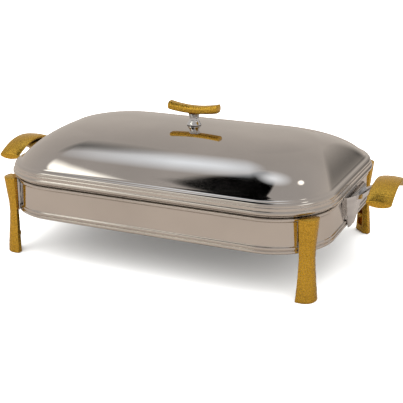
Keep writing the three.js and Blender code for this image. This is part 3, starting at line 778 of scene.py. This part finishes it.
def dish_mesh(name, profile):
    """A pressed dish from its profile, given from the outside's floor round the rim to the inside's."""
    return loft(name, [plan_ring(offset, height) for offset, height in rounded(profile, 0.8)])


def well_mesh():
    rim, floor, inset = well_high.z - 0.8, well_low.z, 21.5
    return dish_mesh("heating_dish", [
        (-inset - 9, floor),
        (-inset - 5, floor + 1),
        (-inset - 1, floor + 5),
        (-inset, rim - 1),
        (-inset + 1, rim),
        (-2, rim),
        (-2, rim + 0.8),
        (-inset + 0.2, rim + 0.8),
        (-inset - 1, rim - 1),
        (-inset - 2, floor + 5.4),
        (-inset - 5.6, floor + 2),
        (-inset - 9, floor + 1),
    ])


def pan_mesh():
    rim, floor, inset = pan_high.z - 1.2, pan_low.z, 24.5
    return dish_mesh("food_dish", [
        (-inset - 10, floor),
        (-inset - 5, floor + 1.2),
        (-inset - 1.5, floor + 5),
        (-inset, rim - 1),
        (-inset + 1, rim),
        (0.6, rim),
        (1.2, rim + 0.6),
        (0.6, rim + 1.2),
        (-inset + 0.2, rim + 1.2),
        (-inset - 1, rim - 1),
        (-inset - 2.5, floor + 5.4),
        (-inset - 5.6, floor + 2.2),
        (-inset - 10, floor + 1),
    ])


# ---- Lid ----
DOME_INSET = 3.0  # the dome's foot inside the casing's wall
DOME_RADIUS = 68.0  # of its plan corners
DOME_FOOT = 14.7  # its height above the lid's foot
DOME_RISE = 1.15
DOME_SPREAD = (7.4, 2.4)  # how full the dome is along its length and across its depth
DOME_STEPS = 64
STUD_RADIUS = 2.4  # the threaded foot of the stem
SPIGOT_RADIUS = 3.0

# The brim's outside from the foot on the pan, round the lip and up the skirt.
BRIM = [
    (-1.6, 0),
    (-0.2, 0),
    (1.6, 1.6),
    (5.2, 1.6),
    (6, 2.7),
    (6, 4.4),
    (4.9, 5.7),
    (4.2, 6.1),
    (4.2, 9.3),
    (3.2, 10),
    (3.4, 11.3),
    (2.2, 13.4),
    (0, 14.6),
    (-1.8, 15),
]
BRIM_INSIDE = [(-3.4, 13.7), (0, 13.3), (2.4, 10.7), (2.6, 3.3), (-1.6, 2.3)]


def dome_ring(level, inward=0.0):
    """The dome's outline at a level from 0, its foot, to 1, its crown."""
    along, across = ((1 - level**DOME_RISE) ** (1 / spread) for spread in DOME_SPREAD)
    half_x = (HALF_LENGTH - DOME_INSET) * along - inward
    half_y = (HALF_DEPTH - DOME_INSET) * across - inward
    foot = lid_low.z + DOME_FOOT
    height = foot + (lid_high.z - foot) * level - (SHEET if inward else 0)
    return rounded_rectangle(half_x, half_y, min(DOME_RADIUS, 0.97 * half_y), height)


def lid_mesh():
    """The lid's pressed shell, with the hole for its stem's stud."""
    levels = [1 - (1 - step / DOME_STEPS) ** 2 for step in range(1, DOME_STEPS)]
    brim = rounded(BRIM_INSIDE + BRIM, 0.7, steps=3)
    rings = [dome_ring(level, 0.8) for level in reversed(levels)]
    rings += [plan_ring(offset, lid_low.z + height) for offset, height in brim]
    rings += [dome_ring(level) for level in levels]
    hole = rod("hole", STUD_RADIUS + GAP, lid_high.z - 6, lid_high.z + 4)
    return combined(loft("lid_dome", rings), [hole], "DIFFERENCE")


def stem_mesh():
    """The turned stem: a stud through the lid, a flared foot, a neck, a collar and a spigot."""
    seat, top = STEM_SEAT, STEM_TOP
    neck = flowing([
        (9, seat + 0.9),
        (8.3, seat + 2.2),
        (6.9, seat + 4),
        (5.9, seat + 6.4),
        (5.6, seat + 8.8),
        (5.9, seat + 11),
        (7, top - 0.9),
    ])
    stud = [(0, stem_low.z), (STUD_RADIUS, stem_low.z), (STUD_RADIUS, seat), (8.7, seat), (9, seat + 0.3)]
    collar = [(7, top - 0.3), (6.7, top), (SPIGOT_RADIUS, top)]
    spigot = [(SPIGOT_RADIUS, stem_high.z), (0, stem_high.z)]
    return lathe("turned_stem", stud + neck + collar + spigot)


BAR_SECTION = [
    (-4.6, 0), (4.6, 0), (7.2, 2.6), (7.4, 6.2), (4.4, 9.6), (-4.4, 9.6), (-7.4, 6.2), (-7.2, 2.6),
]
BAR_RISE = 3.4  # how much higher the bar's ends are
BAR_SWELL = 0.1  # how much thicker they are, as a share
BAR_STEP = 0.42  # size of its facets


def bar_mesh():
    """The bar: a bevelled section along X whose ends rise, its end faces ground flat."""
    half = (bar_high.x - bar_low.x) / 2
    seat = STEM_TOP + GAP
    middle = max(height for _, height in BAR_SECTION) / 2
    section = resampled(rounded(BAR_SECTION, 1.4, closed=True, steps=5), BAR_STEP)
    rings = []
    spans = round(2 * half / BAR_STEP)
    for i in range(spans + 1):
        along = 2 * i / spans - 1
        swell = (1 + BAR_SWELL * along**2) * end_bevel(half * (1 - abs(along)), 0.6, 6)
        height = seat + BAR_RISE * along**2 + middle
        rings.append([(along * half, y * swell, height + (z - middle) * swell) for y, z in section])
    mesh = loft("hammered_bar", rings, crease=50)
    hammer_where(mesh, lambda p: fade(half - 0.9 - abs(p.x), 1.0))
    return hammered(mesh, 0.3, "hammered_bar")


def end_bevel(distance, width, half):
    """How much a section shrinks near an end, to round its edge over."""
    if distance >= width:
        return 1.0
    return 1 - (width - math.sqrt(max(0.0, width**2 - (width - distance) ** 2))) / half


def divided(start, end, parts):
    """The points that cut a line into equal parts, from its start up to the last before its end."""
    return [tuple(a + (b - a) * i / parts for a, b in zip(start, end)) for i in range(parts)]


def resampled(points, step):
    """A closed outline with points about `step` apart along its edges."""
    result = []
    for here, there in zip(points, points[1:] + points[:1]):
        result += divided(here, there, max(1, round(math.dist(here, there) / step)))
    return result


# ---- Legs ----
# A leg's section at each height: [height, half width, thickness].
LEG_SECTIONS = [
    (0, 14.2, 14.2),
    (10, 13.2, 13.6),
    (22, 12, 12.6),
    (36, 10.9, 11.2),
    (50, 10.3, 10.2),
    (62, 10.7, 10.5),
    (76, 11.7, 12.2),
    (87, 12.6, 13.6),
    (LEG_HEIGHT, 13, 14.5),
]
SKIN_STEP = 0.5  # size of the castings' facets
BOSS_HEIGHT = 22.0  # of the round boss on a leg's back


def leg_outline(half, thick):
    """A leg's section, round in front and flat behind, with as many points at every height."""
    edge, back = thick * 0.3, 0.7 * half
    front_count, slant_count, back_count = 84, 5, 18
    points = []
    for i in range(front_count):
        angle = math.pi * (i / (front_count - 1) - 0.5)
        points.append((edge + (thick - edge) * max(0.0, math.cos(angle)) ** 1.6, half * math.sin(angle)))
    points += divided((edge, half), (0, back), slant_count)[1:]
    points += divided((0, back), (0, -back), back_count)
    points += divided((0, -back), (edge, -half), slant_count)
    return points


def leg_mesh():
    """One leg along +X of its corner: hammered in front, ground flat on top, hollow behind with a boss."""
    spans = round(LEG_HEIGHT / SKIN_STEP)
    rings = []
    for i in range(spans + 1):
        height = LEG_HEIGHT * i / spans
        half, thick = between(LEG_SECTIONS, height)
        shrink = end_bevel(min(height, LEG_HEIGHT - height), 0.7, 8)
        middle = thick * 0.45
        outline = leg_outline(half, thick)
        rings.append([(LEG_BACK + middle + (x - middle) * shrink, y * shrink, height) for x, y in outline])
    mesh = loft("leg", rings, crease=50)

    def strength(p):
        half, thick = between(LEG_SECTIONS, p.z)
        front = fade(p.x - LEG_BACK - 0.3 * thick - 0.3, 1.2)
        return front * fade(LEG_HEIGHT - 1.0 - p.z, 1.5) * fade(p.z - 0.8, 1.2)

    skin = hammered(hammer_where(mesh, strength), 0.0, "leg")
    hollow = box_mesh("hollow", (LEG_BACK - 5, -5.5, 9), (LEG_BACK + 6, 5.5, 50))
    leg = combined(skin, [hollow], "DIFFERENCE", crease=50)
    boss = lathe("boss", [(0, -1.5), (2.2, -1.5), (3, -0.7), (3, 7), (0, 7)], 24)
    placed(boss, math.pi / 2, (LEG_BACK, 0, BOSS_HEIGHT), "Y")
    return combined(leg, [boss], "UNION", crease=50)


def corner_centre(corner):
    """The centre of a plan corner's curve, on the floor."""
    sx, sy, _ = CORNERS[corner]
    return Vector((sx * (HALF_LENGTH - CORNER_RADIUS), sy * (HALF_DEPTH - CORNER_RADIUS), 0))


def copied(mesh, name):
    copy = mesh.copy()
    copy.name = name
    return copy


# ---- Side handles ----
# A corbel's section at each height: [height, half width, how far it stands out].
CORBEL_SECTIONS = [
    (50.5, 10.5, 1.5),
    (52, 13, 3),
    (60, 17.5, 4.6),
    (72, 24, 6.6),
    (84, 31, 9),
    (92, 35.5, 11.5),
    (94.5, 36, 12),
]


def corbel_mesh():
    """The right bracket: a fluted corbel that widens upwards, and a strap that sweeps out to a tongue."""
    back = HALF_LENGTH + BEAD + GAP
    low, high = CORBEL_SECTIONS[0][0], CORBEL_SECTIONS[-1][0]
    spans, across = 44, 56
    rings = []
    for i in range(spans + 1):
        height = low + (high - low) * i / spans
        half, depth = between(CORBEL_SECTIONS, height)
        ring = []
        for j in range(across + 1):
            s = 2 * j / across - 1
            ring.append((back + depth * flute(abs(s)), half * s, height))
        ring += [(back, half, height), (back, -half, height)]
        rings.append(ring)
    corbel = loft("side_bracket", rings, crease=40)
    seat = box_mesh("seat", (HALF_LENGTH + GAP, -20, 63), (back + 1, 20, 89))
    return combined(corbel, [seat, strap_mesh()], "UNION", crease=40)


def flute(s):
    """A corbel's depth across its half width: a hollow middle, a ridge and a slope to the edge."""
    ridge = 0.5
    if s < ridge:
        return 0.84 + 0.16 * (s / ridge) ** 2
    return 0.3 + 0.7 * (1 - ((s - ridge) / (1 - ridge)) ** 1.5)


def strap_mesh():
    """The strap from the corbel's top out and up to a flat tongue under the grip."""
    top = GRIP_SEAT - GAP
    outline = rounded([
        (206, 88),
        (212, 87.5),
        (220, 91),
        (227, 97),
        (234, 101.4),
        (240, top - TONGUE_THICKNESS),
        (254, top - TONGUE_THICKNESS),
        (254, top),
        (238, top),
        (231, 103.6),
        (224, 99.8),
        (217, 94.5),
        (211, 91.8),
        (206, 91.8),
    ], 4, closed=True, steps=6)
    edge = 0.7  # the rounding of its two long edges
    half_span = 24  # about half the strap's own length
    side, inner = TONGUE_HALF_WIDTH, TONGUE_HALF_WIDTH - edge
    middle_x, middle_z = (sum(values) / len(outline) for values in zip(*outline))
    rings = []
    for y, inset in ((-side, edge), (-inner, 0), (inner, 0), (side, edge)):
        shrink = 1 - inset / half_span
        rings.append(
            [(middle_x + (x - middle_x) * shrink, y, middle_z + (z - middle_z) * shrink) for x, z in outline]
        )
    return loft("strap", rings, crease=40)


def grip_mesh():
    """The right grip: a thin hammered lens arched along Y, with a flat seat for the tongue."""
    half_length = (grip_high.y - grip_low.y) / 2
    half_width = (grip_high.x - grip_low.x) / 2
    plane, drop, top_bulge, low_bulge = 110.5, 15.0, 2.5, 5.0
    spans = round(2 * half_length / SKIN_STEP)
    count = 64
    rings = []
    for i in range(spans + 1):
        along = 2 * i / spans - 1
        middle = plane - drop * along**2
        shrink = end_bevel(half_length * (1 - abs(along)), 0.6, 8)
        ring = []
        for j in range(2 * count):
            angle = math.pi * (j / count)
            across = math.cos(angle)
            bulge = math.sin(angle)
            height = (top_bulge if bulge > 0 else low_bulge) * bulge
            x = GRIP_X + half_width * across * shrink
            ring.append((x, along * half_length, middle + height * shrink))
        rings.append(ring)
    mesh = loft("grip", rings, crease=50)

    def strength(p):
        from_end = half_length - 0.8 - abs(p.y)
        from_edge = half_width - 0.5 - abs(p.x - GRIP_X)
        return fade(from_end, 1.0) * fade(from_edge, 1.0)

    skin = hammered(hammer_where(mesh, strength), 0.7, "grip")
    edge = TONGUE_HALF_WIDTH + GAP
    seat = box_mesh("seat", (GRIP_X - 20, -edge, GRIP_SEAT - 12), (GRIP_X + 20, edge, GRIP_SEAT))
    return combined(skin, [seat], "DIFFERENCE", crease=50)


# ---- Fasteners and heater ----
BOLT_HEAD = 2.8
SCREW_HEAD = 2.0
# The sizes of each group's screws, in the order of SCREW_PARTS.
SCREW_SIZES = {
    "leg_bolts": (2, 9.5, 4, BOLT_HEAD, 2),
    "base_screws": (1.6, 8, 3.6, SCREW_HEAD, 1.8),
    "bracket_bolts": (2, 6, 4, BOLT_HEAD, 2),
    "grip_screws": (1.9, 6, 3.6, SCREW_HEAD, 1.8),
}


def fasteners(name, points, nodes):
    """One piece for a group of like screws: points are [place, heading] in millimetres."""
    mesh = bpy.data.meshes.new(name)
    mesh.from_pydata([Vector(place) * MM for place, _ in points], [], [])
    layer = mesh.attributes.new("heading", "FLOAT_VECTOR", "POINT")
    layer.data.foreach_set("vector", [value for _, heading in points for value in heading])
    values = {part: size * MM for part, size in zip(SCREW_PARTS, SCREW_SIZES[name])}
    values["Material"] = material("zinc_fastener")
    result = made_by(tree(fastener_tree), shown(mesh), values, name)
    add_piece(result, "zinc_fastener", "housing", *nodes)


def element_path():
    """The element's serpentine as a curve: four passes along X joined by half turns."""
    low, high = (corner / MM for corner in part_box("heating_element"))
    radius = (high.z - low.z) / 2
    height = (high.z + low.z) / 2
    passes = 4
    pitch = (high.y - low.y - 2 * radius) / (passes - 1)
    end = high.x - radius - pitch / 2
    points = []
    for i in range(passes):
        y = low.y + radius + pitch * i
        side = -1 if i % 2 else 1
        points.extend((side * x * end, y, height) for x in (-1, -0.5, 0, 0.5, 1))
        if i < passes - 1:
            for step in range(1, 8):
                turn = math.pi * step / 8
                x = side * (end + pitch / 2 * math.sin(turn))
                points.append((x, y + pitch / 2 * (1 - math.cos(turn)), height))
    curve = bpy.data.curves.new("element_path", "CURVE")
    curve.dimensions = "3D"
    spline = curve.splines.new("POLY")
    spline.points.add(len(points) - 1)
    for knot, point in zip(spline.points, points):
        knot.co = (*(Vector(point) * MM), 1)
    path = bpy.data.objects.new("element_path", curve)
    bpy.context.scene.collection.objects.link(path)
    return path, radius


# ---- Stage ----
CAMERA = {
    "azimuth": 23.95,
    "elevation": 18.52,
    "distance": 1.1731,
    "lens": 83.4,
    "target": (0.0099, 0, 0.0529),
}
LIGHTS_TARGET = Vector((0, 0, 0.1))


def aimed(thing, place, target):
    """Puts a camera or light at a place, looking at a target."""
    thing.location = place
    thing.rotation_euler = (Vector(target) - Vector(place)).to_track_quat("-Z", "Y").to_euler()
    bpy.context.scene.collection.objects.link(thing)
    return thing


def direction(azimuth, elevation):
    """The unit vector towards a bearing: azimuth 0 is -Y, 90 is +X."""
    a, e = math.radians(azimuth), math.radians(elevation)
    return Vector((math.sin(a) * math.cos(e), -math.cos(a) * math.cos(e), math.sin(e)))


def add_camera():
    data = bpy.data.cameras.new("camera")
    data.lens = CAMERA["lens"]
    target = Vector(CAMERA["target"])
    place = target + direction(CAMERA["azimuth"], CAMERA["elevation"]) * CAMERA["distance"]
    camera = aimed(bpy.data.objects.new("camera", data), place, target)
    bpy.context.scene.camera = camera


def soft_light(name, azimuth, elevation, distance, size, power, colour=(1, 1, 1)):
    """A large area light that faces the object; polished metal mirrors the cards instead of it."""
    data = bpy.data.lights.new(name, "AREA")
    data.shape = "RECTANGLE"
    data.size, data.size_y = size
    data.energy = power
    data.color = colour
    place = LIGHTS_TARGET + direction(azimuth, elevation) * distance
    light = aimed(bpy.data.objects.new(name, data), place, LIGHTS_TARGET)
    light.visible_camera = False
    light.visible_glossy = False


def with_nodes(holder):
    """Turns on a material's or world's nodes and gives them with their links."""
    holder.use_nodes = True
    return holder.node_tree.nodes, holder.node_tree.links


def card_material(name, colour, strength, softness):
    """A glow that fades out over the outer share of the card that `softness` gives."""
    made = bpy.data.materials.new(name)
    nodes, links = with_nodes(made)
    nodes.remove(nodes["Principled BSDF"])
    place = nodes.new("ShaderNodeTexCoord")
    centre = nodes.new("ShaderNodeMapping")
    centre.inputs["Location"].default_value = (-1, -1, 0)
    centre.inputs["Scale"].default_value = (2, 2, 0)
    links.new(place.outputs["Generated"], centre.inputs["Vector"])
    spot = nodes.new("ShaderNodeTexGradient")
    spot.gradient_type = "SPHERICAL"
    links.new(centre.outputs["Vector"], spot.inputs["Vector"])
    edge = nodes.new("ShaderNodeMapRange")
    edge.inputs["From Max"].default_value = softness
    links.new(spot.outputs["Fac"], edge.inputs["Value"])
    emission = nodes.new("ShaderNodeEmission")
    emission.inputs["Color"].default_value = (*colour, 1)
    emission.inputs["Strength"].default_value = strength
    mix = nodes.new("ShaderNodeMixShader")
    links.new(edge.outputs["Result"], mix.inputs["Fac"])
    links.new(nodes.new("ShaderNodeBsdfTransparent").outputs[0], mix.inputs[1])
    links.new(emission.outputs[0], mix.inputs[2])
    links.new(mix.outputs[0], nodes["Material Output"].inputs["Surface"])
    return made


# The cards round the object that its polished metal mirrors:
# name, azimuth, elevation, half width and half height as angles, colour, strength, softness.
CARDS = (
    ("left_window", -76, 56, 17, 4.2, (1.0, 0.99, 0.94), 2.0, 0.6),
    ("blue_window", -133, 58, 15, 10, (0.84, 0.91, 1.0), 1.35, 1.0),
    ("dark_ceiling", -98, 77, 26, 11, (0.0, 0.0, 0.0), 0.0, 0.15),
    ("dark_front_ceiling", -38, 76, 20, 10, (0.0, 0.0, 0.0), 0.0, 0.3),
    ("rear_window", -168, 68, 12, 9, (0.88, 0.93, 1.0), 1.25, 0.9),
    ("rear_spot", 154, 60, 3, 3, (1.0, 0.97, 0.92), 2.0, 0.4),
    ("dark_corner", 162, 8, 20, 20, (0.9, 0.85, 0.8), 0.12, 1.0),
    ("dark_left", -128, 48, 9, 6, (0.9, 0.9, 0.9), 0.2, 1.0),
    ("front_window", -40, 45, 22, 5, (1.0, 0.97, 0.86), 1.7, 0.4),
    ("front_gleam", -30, 25, 24, 3.5, (1.0, 0.96, 0.84), 1.5, 0.4),
    ("front_strip", -14, 14, 52, 4.5, (0.6, 0.7, 1.0), 0.02, 0.3),
    ("right_strip", 80, 14, 26, 4, (0.6, 0.7, 1.0), 0.02, 0.4),
    ("right_window", 78, 30, 18, 7, (1.0, 0.98, 0.94), 1.2, 0.6),
)
CARD_DISTANCE = 4.0


def add_card(name, azimuth, elevation, half_width, half_height, colour, strength, softness):
    """A flat studio card that only the polished metal sees."""
    x, y = (CARD_DISTANCE * math.tan(math.radians(angle)) for angle in (half_width, half_height))
    mesh = flat_mesh(name, x, y)
    mesh.materials.append(card_material(name, colour, strength, softness))
    place = LIGHTS_TARGET + direction(azimuth, elevation) * CARD_DISTANCE
    piece = aimed(bpy.data.objects.new(name, mesh), place, LIGHTS_TARGET)
    piece.visible_camera = False
    piece.visible_diffuse = False
    piece.visible_shadow = False


def flat_mesh(name, half_x, half_y):
    """A level rectangle round the origin, in metres."""
    mesh = bpy.data.meshes.new(name)
    corners = [(-half_x, -half_y, 0), (half_x, -half_y, 0), (half_x, half_y, 0), (-half_x, half_y, 0)]
    mesh.from_pydata(corners, [], [(0, 1, 2, 3)])
    return mesh


def mixed_by_mirror(nodes, links, seen, mirrored):
    """A colour that is `seen` directly, and `mirrored` where polished metal reflects it."""
    path = nodes.new("ShaderNodeLightPath")
    mix = nodes.new("ShaderNodeMix")
    mix.data_type = "RGBA"
    mix.inputs["A"].default_value = (*seen, 1)
    mix.inputs["B"].default_value = (*mirrored, 1)
    links.new(path.outputs["Is Glossy Ray"], mix.inputs["Factor"])
    return mix


def floor_material():
    """A pale matt floor, darker and warmer where polished metal mirrors it."""
    made = bpy.data.materials.new("floor")
    nodes, links = with_nodes(made)
    mix = mixed_by_mirror(nodes, links, looks().floor_colour, (0.23, 0.20, 0.175))
    shader = nodes["Principled BSDF"]
    shader.inputs["Roughness"].default_value = 0.9
    shader.inputs["Specular IOR Level"].default_value = 0.1
    links.new(mix.outputs["Result"], shader.inputs["Base Color"])
    return made


def add_floor():
    shown(flat_mesh("floor", 12, 12), floor_material())


def add_world():
    """White light all round; the metal mirrors a warm grey room that darkens upwards."""
    world = bpy.data.worlds.new("room")
    bpy.context.scene.world = world
    nodes, links = with_nodes(world)
    place = nodes.new("ShaderNodeTexCoord")
    split = nodes.new("ShaderNodeSeparateXYZ")
    links.new(place.outputs["Generated"], split.inputs[0])
    ramp = nodes.new("ShaderNodeValToRGB")
    ramp.color_ramp.elements[0].color = (0.60, 0.55, 0.50, 1)
    ramp.color_ramp.elements[1].color = (0.42, 0.40, 0.39, 1)
    links.new(split.outputs["Z"], ramp.inputs["Fac"])
    mix = mixed_by_mirror(nodes, links, (2.3, 2.3, 2.3), (1, 1, 1))
    links.new(ramp.outputs["Color"], mix.inputs["B"])
    links.new(mix.outputs["Result"], nodes["Background"].inputs["Color"])


# ---- Operators ----
class BuildStep(bpy.types.Operator):
    """Base of the building steps."""

    bl_options = {"REGISTER", "UNDO"}

    def execute(self, context):
        self.build()
        return {"FINISHED"}


class BUFFET_OT_stage(BuildStep):
    """Sets the camera, the floor, the lights and the cards round the object"""

    bl_idname = "buffet.stage"
    bl_label = "Stage"

    def build(self):
        add_camera()
        add_floor()
        add_world()
        bpy.context.scene.view_settings.view_transform = "Standard"
        soft_light("overhead", 10, 78, 2.2, (2.4, 1.8), 22)
        soft_light("front", -30, 35, 2.6, (1.6, 1.2), 10, (1, 0.98, 0.95))
        for card in CARDS:
            add_card(*card)


class BUFFET_OT_casing(BuildStep):
    """Builds the casing's wall and its base"""

    bl_idname = "buffet.casing"
    bl_label = "Casing"

    def build(self):
        add_piece(casing_mesh(), "polished_steel", "housing", "body_shell")
        softened("base_plate", "base_sheet", "base_steel", 0.2)


class BUFFET_OT_dishes(BuildStep):
    """Builds the heating well and the food pan"""

    bl_idname = "buffet.dishes"
    bl_label = "Well and food pan"

    def build(self):
        add_piece(well_mesh(), "satin_steel", "housing", "heating_well")
        add_piece(pan_mesh(), "polished_steel", "pan", "food_pan")


class BUFFET_OT_lid(BuildStep):
    """Builds the domed lid, its turned stem, its bar and the nut inside"""

    bl_idname = "buffet.lid"
    bl_label = "Lid"

    def build(self):
        add_piece(lid_mesh(), "polished_steel", "lid", "lid_shell")
        add_piece(stem_mesh(), "chrome", "lid", "lid_stem")
        add_piece(bar_mesh(), "gold_casting", "lid", "lid_bar")
        softened("lid_washer", "stem_washer", "zinc_fastener", 0.15, "lid")
        softened("lid_nut", "stem_nut", "zinc_fastener", 0.3, "lid")


class BUFFET_OT_legs(BuildStep):
    """Builds the four cast legs and their chromed brackets"""

    bl_idname = "buffet.legs"
    bl_label = "Legs"

    def build(self):
        leg = leg_mesh()
        for corner, (_, _, turn) in CORNERS.items():
            cast = placed(copied(leg, f"cast_leg_{corner}"), turn, corner_centre(corner))
            add_piece(cast, "gold_casting", "housing", f"leg_{corner}")
            softened(f"leg_bracket_{corner}", f"corner_channel_{corner}", "chrome", 0.8)
        bpy.data.meshes.remove(leg)


class BUFFET_OT_side_handles(BuildStep):
    """Builds the two side brackets and their hammered grips"""

    bl_idname = "buffet.side_handles"
    bl_label = "Side handles"

    def build(self):
        bracket, grip = corbel_mesh(), grip_mesh()
        for side, turn in (("right", 0.0), ("left", math.pi)):
            for mesh, name, finish, node in (
                (bracket, "fluted_bracket", "chrome", "side_bracket"),
                (grip, "hammered_grip", "gold_casting", "grip"),
            ):
                copy = placed(copied(mesh, f"{name}_{side}"), turn)
                add_piece(copy, finish, "housing", f"{node}_{side}")
        bpy.data.meshes.remove(bracket)
        bpy.data.meshes.remove(grip)


class BUFFET_OT_fasteners(BuildStep):
    """Builds the screws and bolts"""

    bl_idname = "buffet.fasteners"
    bl_label = "Fasteners"

    def build(self):
        bolts, screws = [], []
        seat = CORNER_RADIUS - SHEET - 0.4
        up = Vector((0, 0, 1))
        for corner, (_, _, turn) in CORNERS.items():
            heading = Vector((math.cos(turn), math.sin(turn), 0))
            foot = corner_centre(corner) + heading * seat
            bolts += [(foot + up * height, heading) for height in LEG_BOLT_HEIGHTS]
            low, high = (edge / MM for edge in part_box(f"base_screw_{corner}"))
            screws.append((((low.x + high.x) / 2, (low.y + high.y) / 2, low.z + SCREW_HEAD), up))
        fasteners("leg_bolts", bolts, [f"leg_bolt_{corner}_{i}" for corner in CORNERS for i in (1, 2)])
        fasteners("base_screws", screws, [f"base_screw_{corner}" for corner in CORNERS])
        ends, grips = [], []
        for side, name in ((1, "right"), (-1, "left")):
            low, high = (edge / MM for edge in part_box(f"bracket_bolt_{name}"))
            inner = low.x + BOLT_HEAD if side > 0 else high.x - BOLT_HEAD
            ends.append(((inner, 0, (low.z + high.z) / 2), Vector((side, 0, 0))))
            low, high = (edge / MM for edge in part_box(f"grip_screw_{name}"))
            grips.append((((low.x + high.x) / 2, 0, low.z + SCREW_HEAD), up))
        fasteners("bracket_bolts", ends, ["bracket_bolt_right", "bracket_bolt_left"])
        fasteners("grip_screws", grips, ["grip_screw_right", "grip_screw_left"])


class BUFFET_OT_heater(BuildStep):
    """Builds the heating element and what holds and controls it"""

    bl_idname = "buffet.heater"
    bl_label = "Heater"

    def build(self):
        path, radius = element_path()
        values = {"Radius": radius * MM, "Material": material("element_sheath")}
        mesh = made_by(tree(sheath_tree), path, values, "sheathed_element")
        add_piece(mesh, "element_sheath", "housing", "heating_element")
        parts = [
            ("element_clip_1", "element_strap_1", "aluminium", 0.2),
            ("element_clip_2", "element_strap_2", "aluminium", 0.2),
            ("thermostat", "thermostat_can", "ceramic", 0.3),
            ("thermal_fuse", "fuse_body", "ceramic", 0.2),
            ("terminal_block", "wire_block", "ceramic", 0.4),
            ("insulation_pad", "wool_board", "mineral_fibre", 0.5),
        ]
        for node, name, finish, width in parts:
            softened(node, name, finish, width)
        for corner in CORNERS:
            softened(f"plate_post_{corner}", f"spacer_{corner}", "zinc_fastener", 0.3)


class BUFFET_OT_rear_fittings(BuildStep):
    """Builds the power inlet, the switch and the lamp in the rear wall"""

    bl_idname = "buffet.rear_fittings"
    bl_label = "Rear fittings"

    def build(self):
        softened("power_inlet", "inlet_socket", "black_plastic", 0.6)
        for pin in ("live", "neutral", "earth"):
            softened(f"inlet_pin_{pin}", f"contact_{pin}", "brass_pin", 0.3)
        softened("switch_frame", "switch_bezel", "black_plastic", 0.6)
        softened("rocker", "rocker_key", "black_plastic", 0.6, "switch_key")
        barrel = [(0, -9), (4.4, -9), (4.4, 0.3), (6, 0.3), (6, 1.2)]
        lens = lathe("lamp_lens", barrel + flowing([(6, 1.2), (5, 2.4), (2.5, 3), (0, 3)]))
        add_piece(placed(lens, -math.pi / 2, lamp_place(), "X"), "amber_lens", "housing", "pilot_lamp")


class BUFFET_OT_leads(BuildStep):
    """Paints the leads between the inlet, the switch and the heater"""

    bl_idname = "buffet.leads"
    bl_label = "Leads"

    def build(self):
        sleeves = {
            "lead_live": "live_sleeve",
            "lead_switched": "live_sleeve",
            "lead_thermostat": "live_sleeve",
            "lead_neutral": "neutral_sleeve",
            "lead_earth": "earth_sleeve",
        }
        for node, finish in sleeves.items():
            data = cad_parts[node].data
            data.materials.clear()
            data.materials.append(material(finish))


STEPS = (
    BUFFET_OT_stage,
    BUFFET_OT_casing,
    BUFFET_OT_dishes,
    BUFFET_OT_lid,
    BUFFET_OT_legs,
    BUFFET_OT_side_handles,
    BUFFET_OT_fasteners,
    BUFFET_OT_heater,
    BUFFET_OT_rear_fittings,
    BUFFET_OT_leads,
)


class BUFFET_PT_sidebar(bpy.types.Panel):
    """Lists the building steps and the looks."""

    bl_label = "Buffet server"
    bl_idname = "BUFFET_PT_sidebar"
    bl_space_type = "VIEW_3D"
    bl_region_type = "UI"
    bl_category = "Buffet server"

    def draw(self, context):
        column = self.layout.column()
        for name in BuffetLooks.__annotations__:
            column.prop(context.scene.buffet_looks, name)
        for step in STEPS:
            column.operator(step.bl_idname)


CLASSES = (BuffetLooks, *STEPS, BUFFET_PT_sidebar)


def register():
    for cls in CLASSES:
        bpy.utils.register_class(cls)
    bpy.types.Scene.buffet_looks = bpy.props.PointerProperty(type=BuffetLooks)


def unregister():
    del bpy.types.Scene.buffet_looks
    for cls in reversed(CLASSES):
        bpy.utils.unregister_class(cls)


def main():
    register()
    for step in STEPS:
        group, name = step.bl_idname.split(".")
        getattr(getattr(bpy.ops, group), name)()


if __name__ == "__main__":
    main()
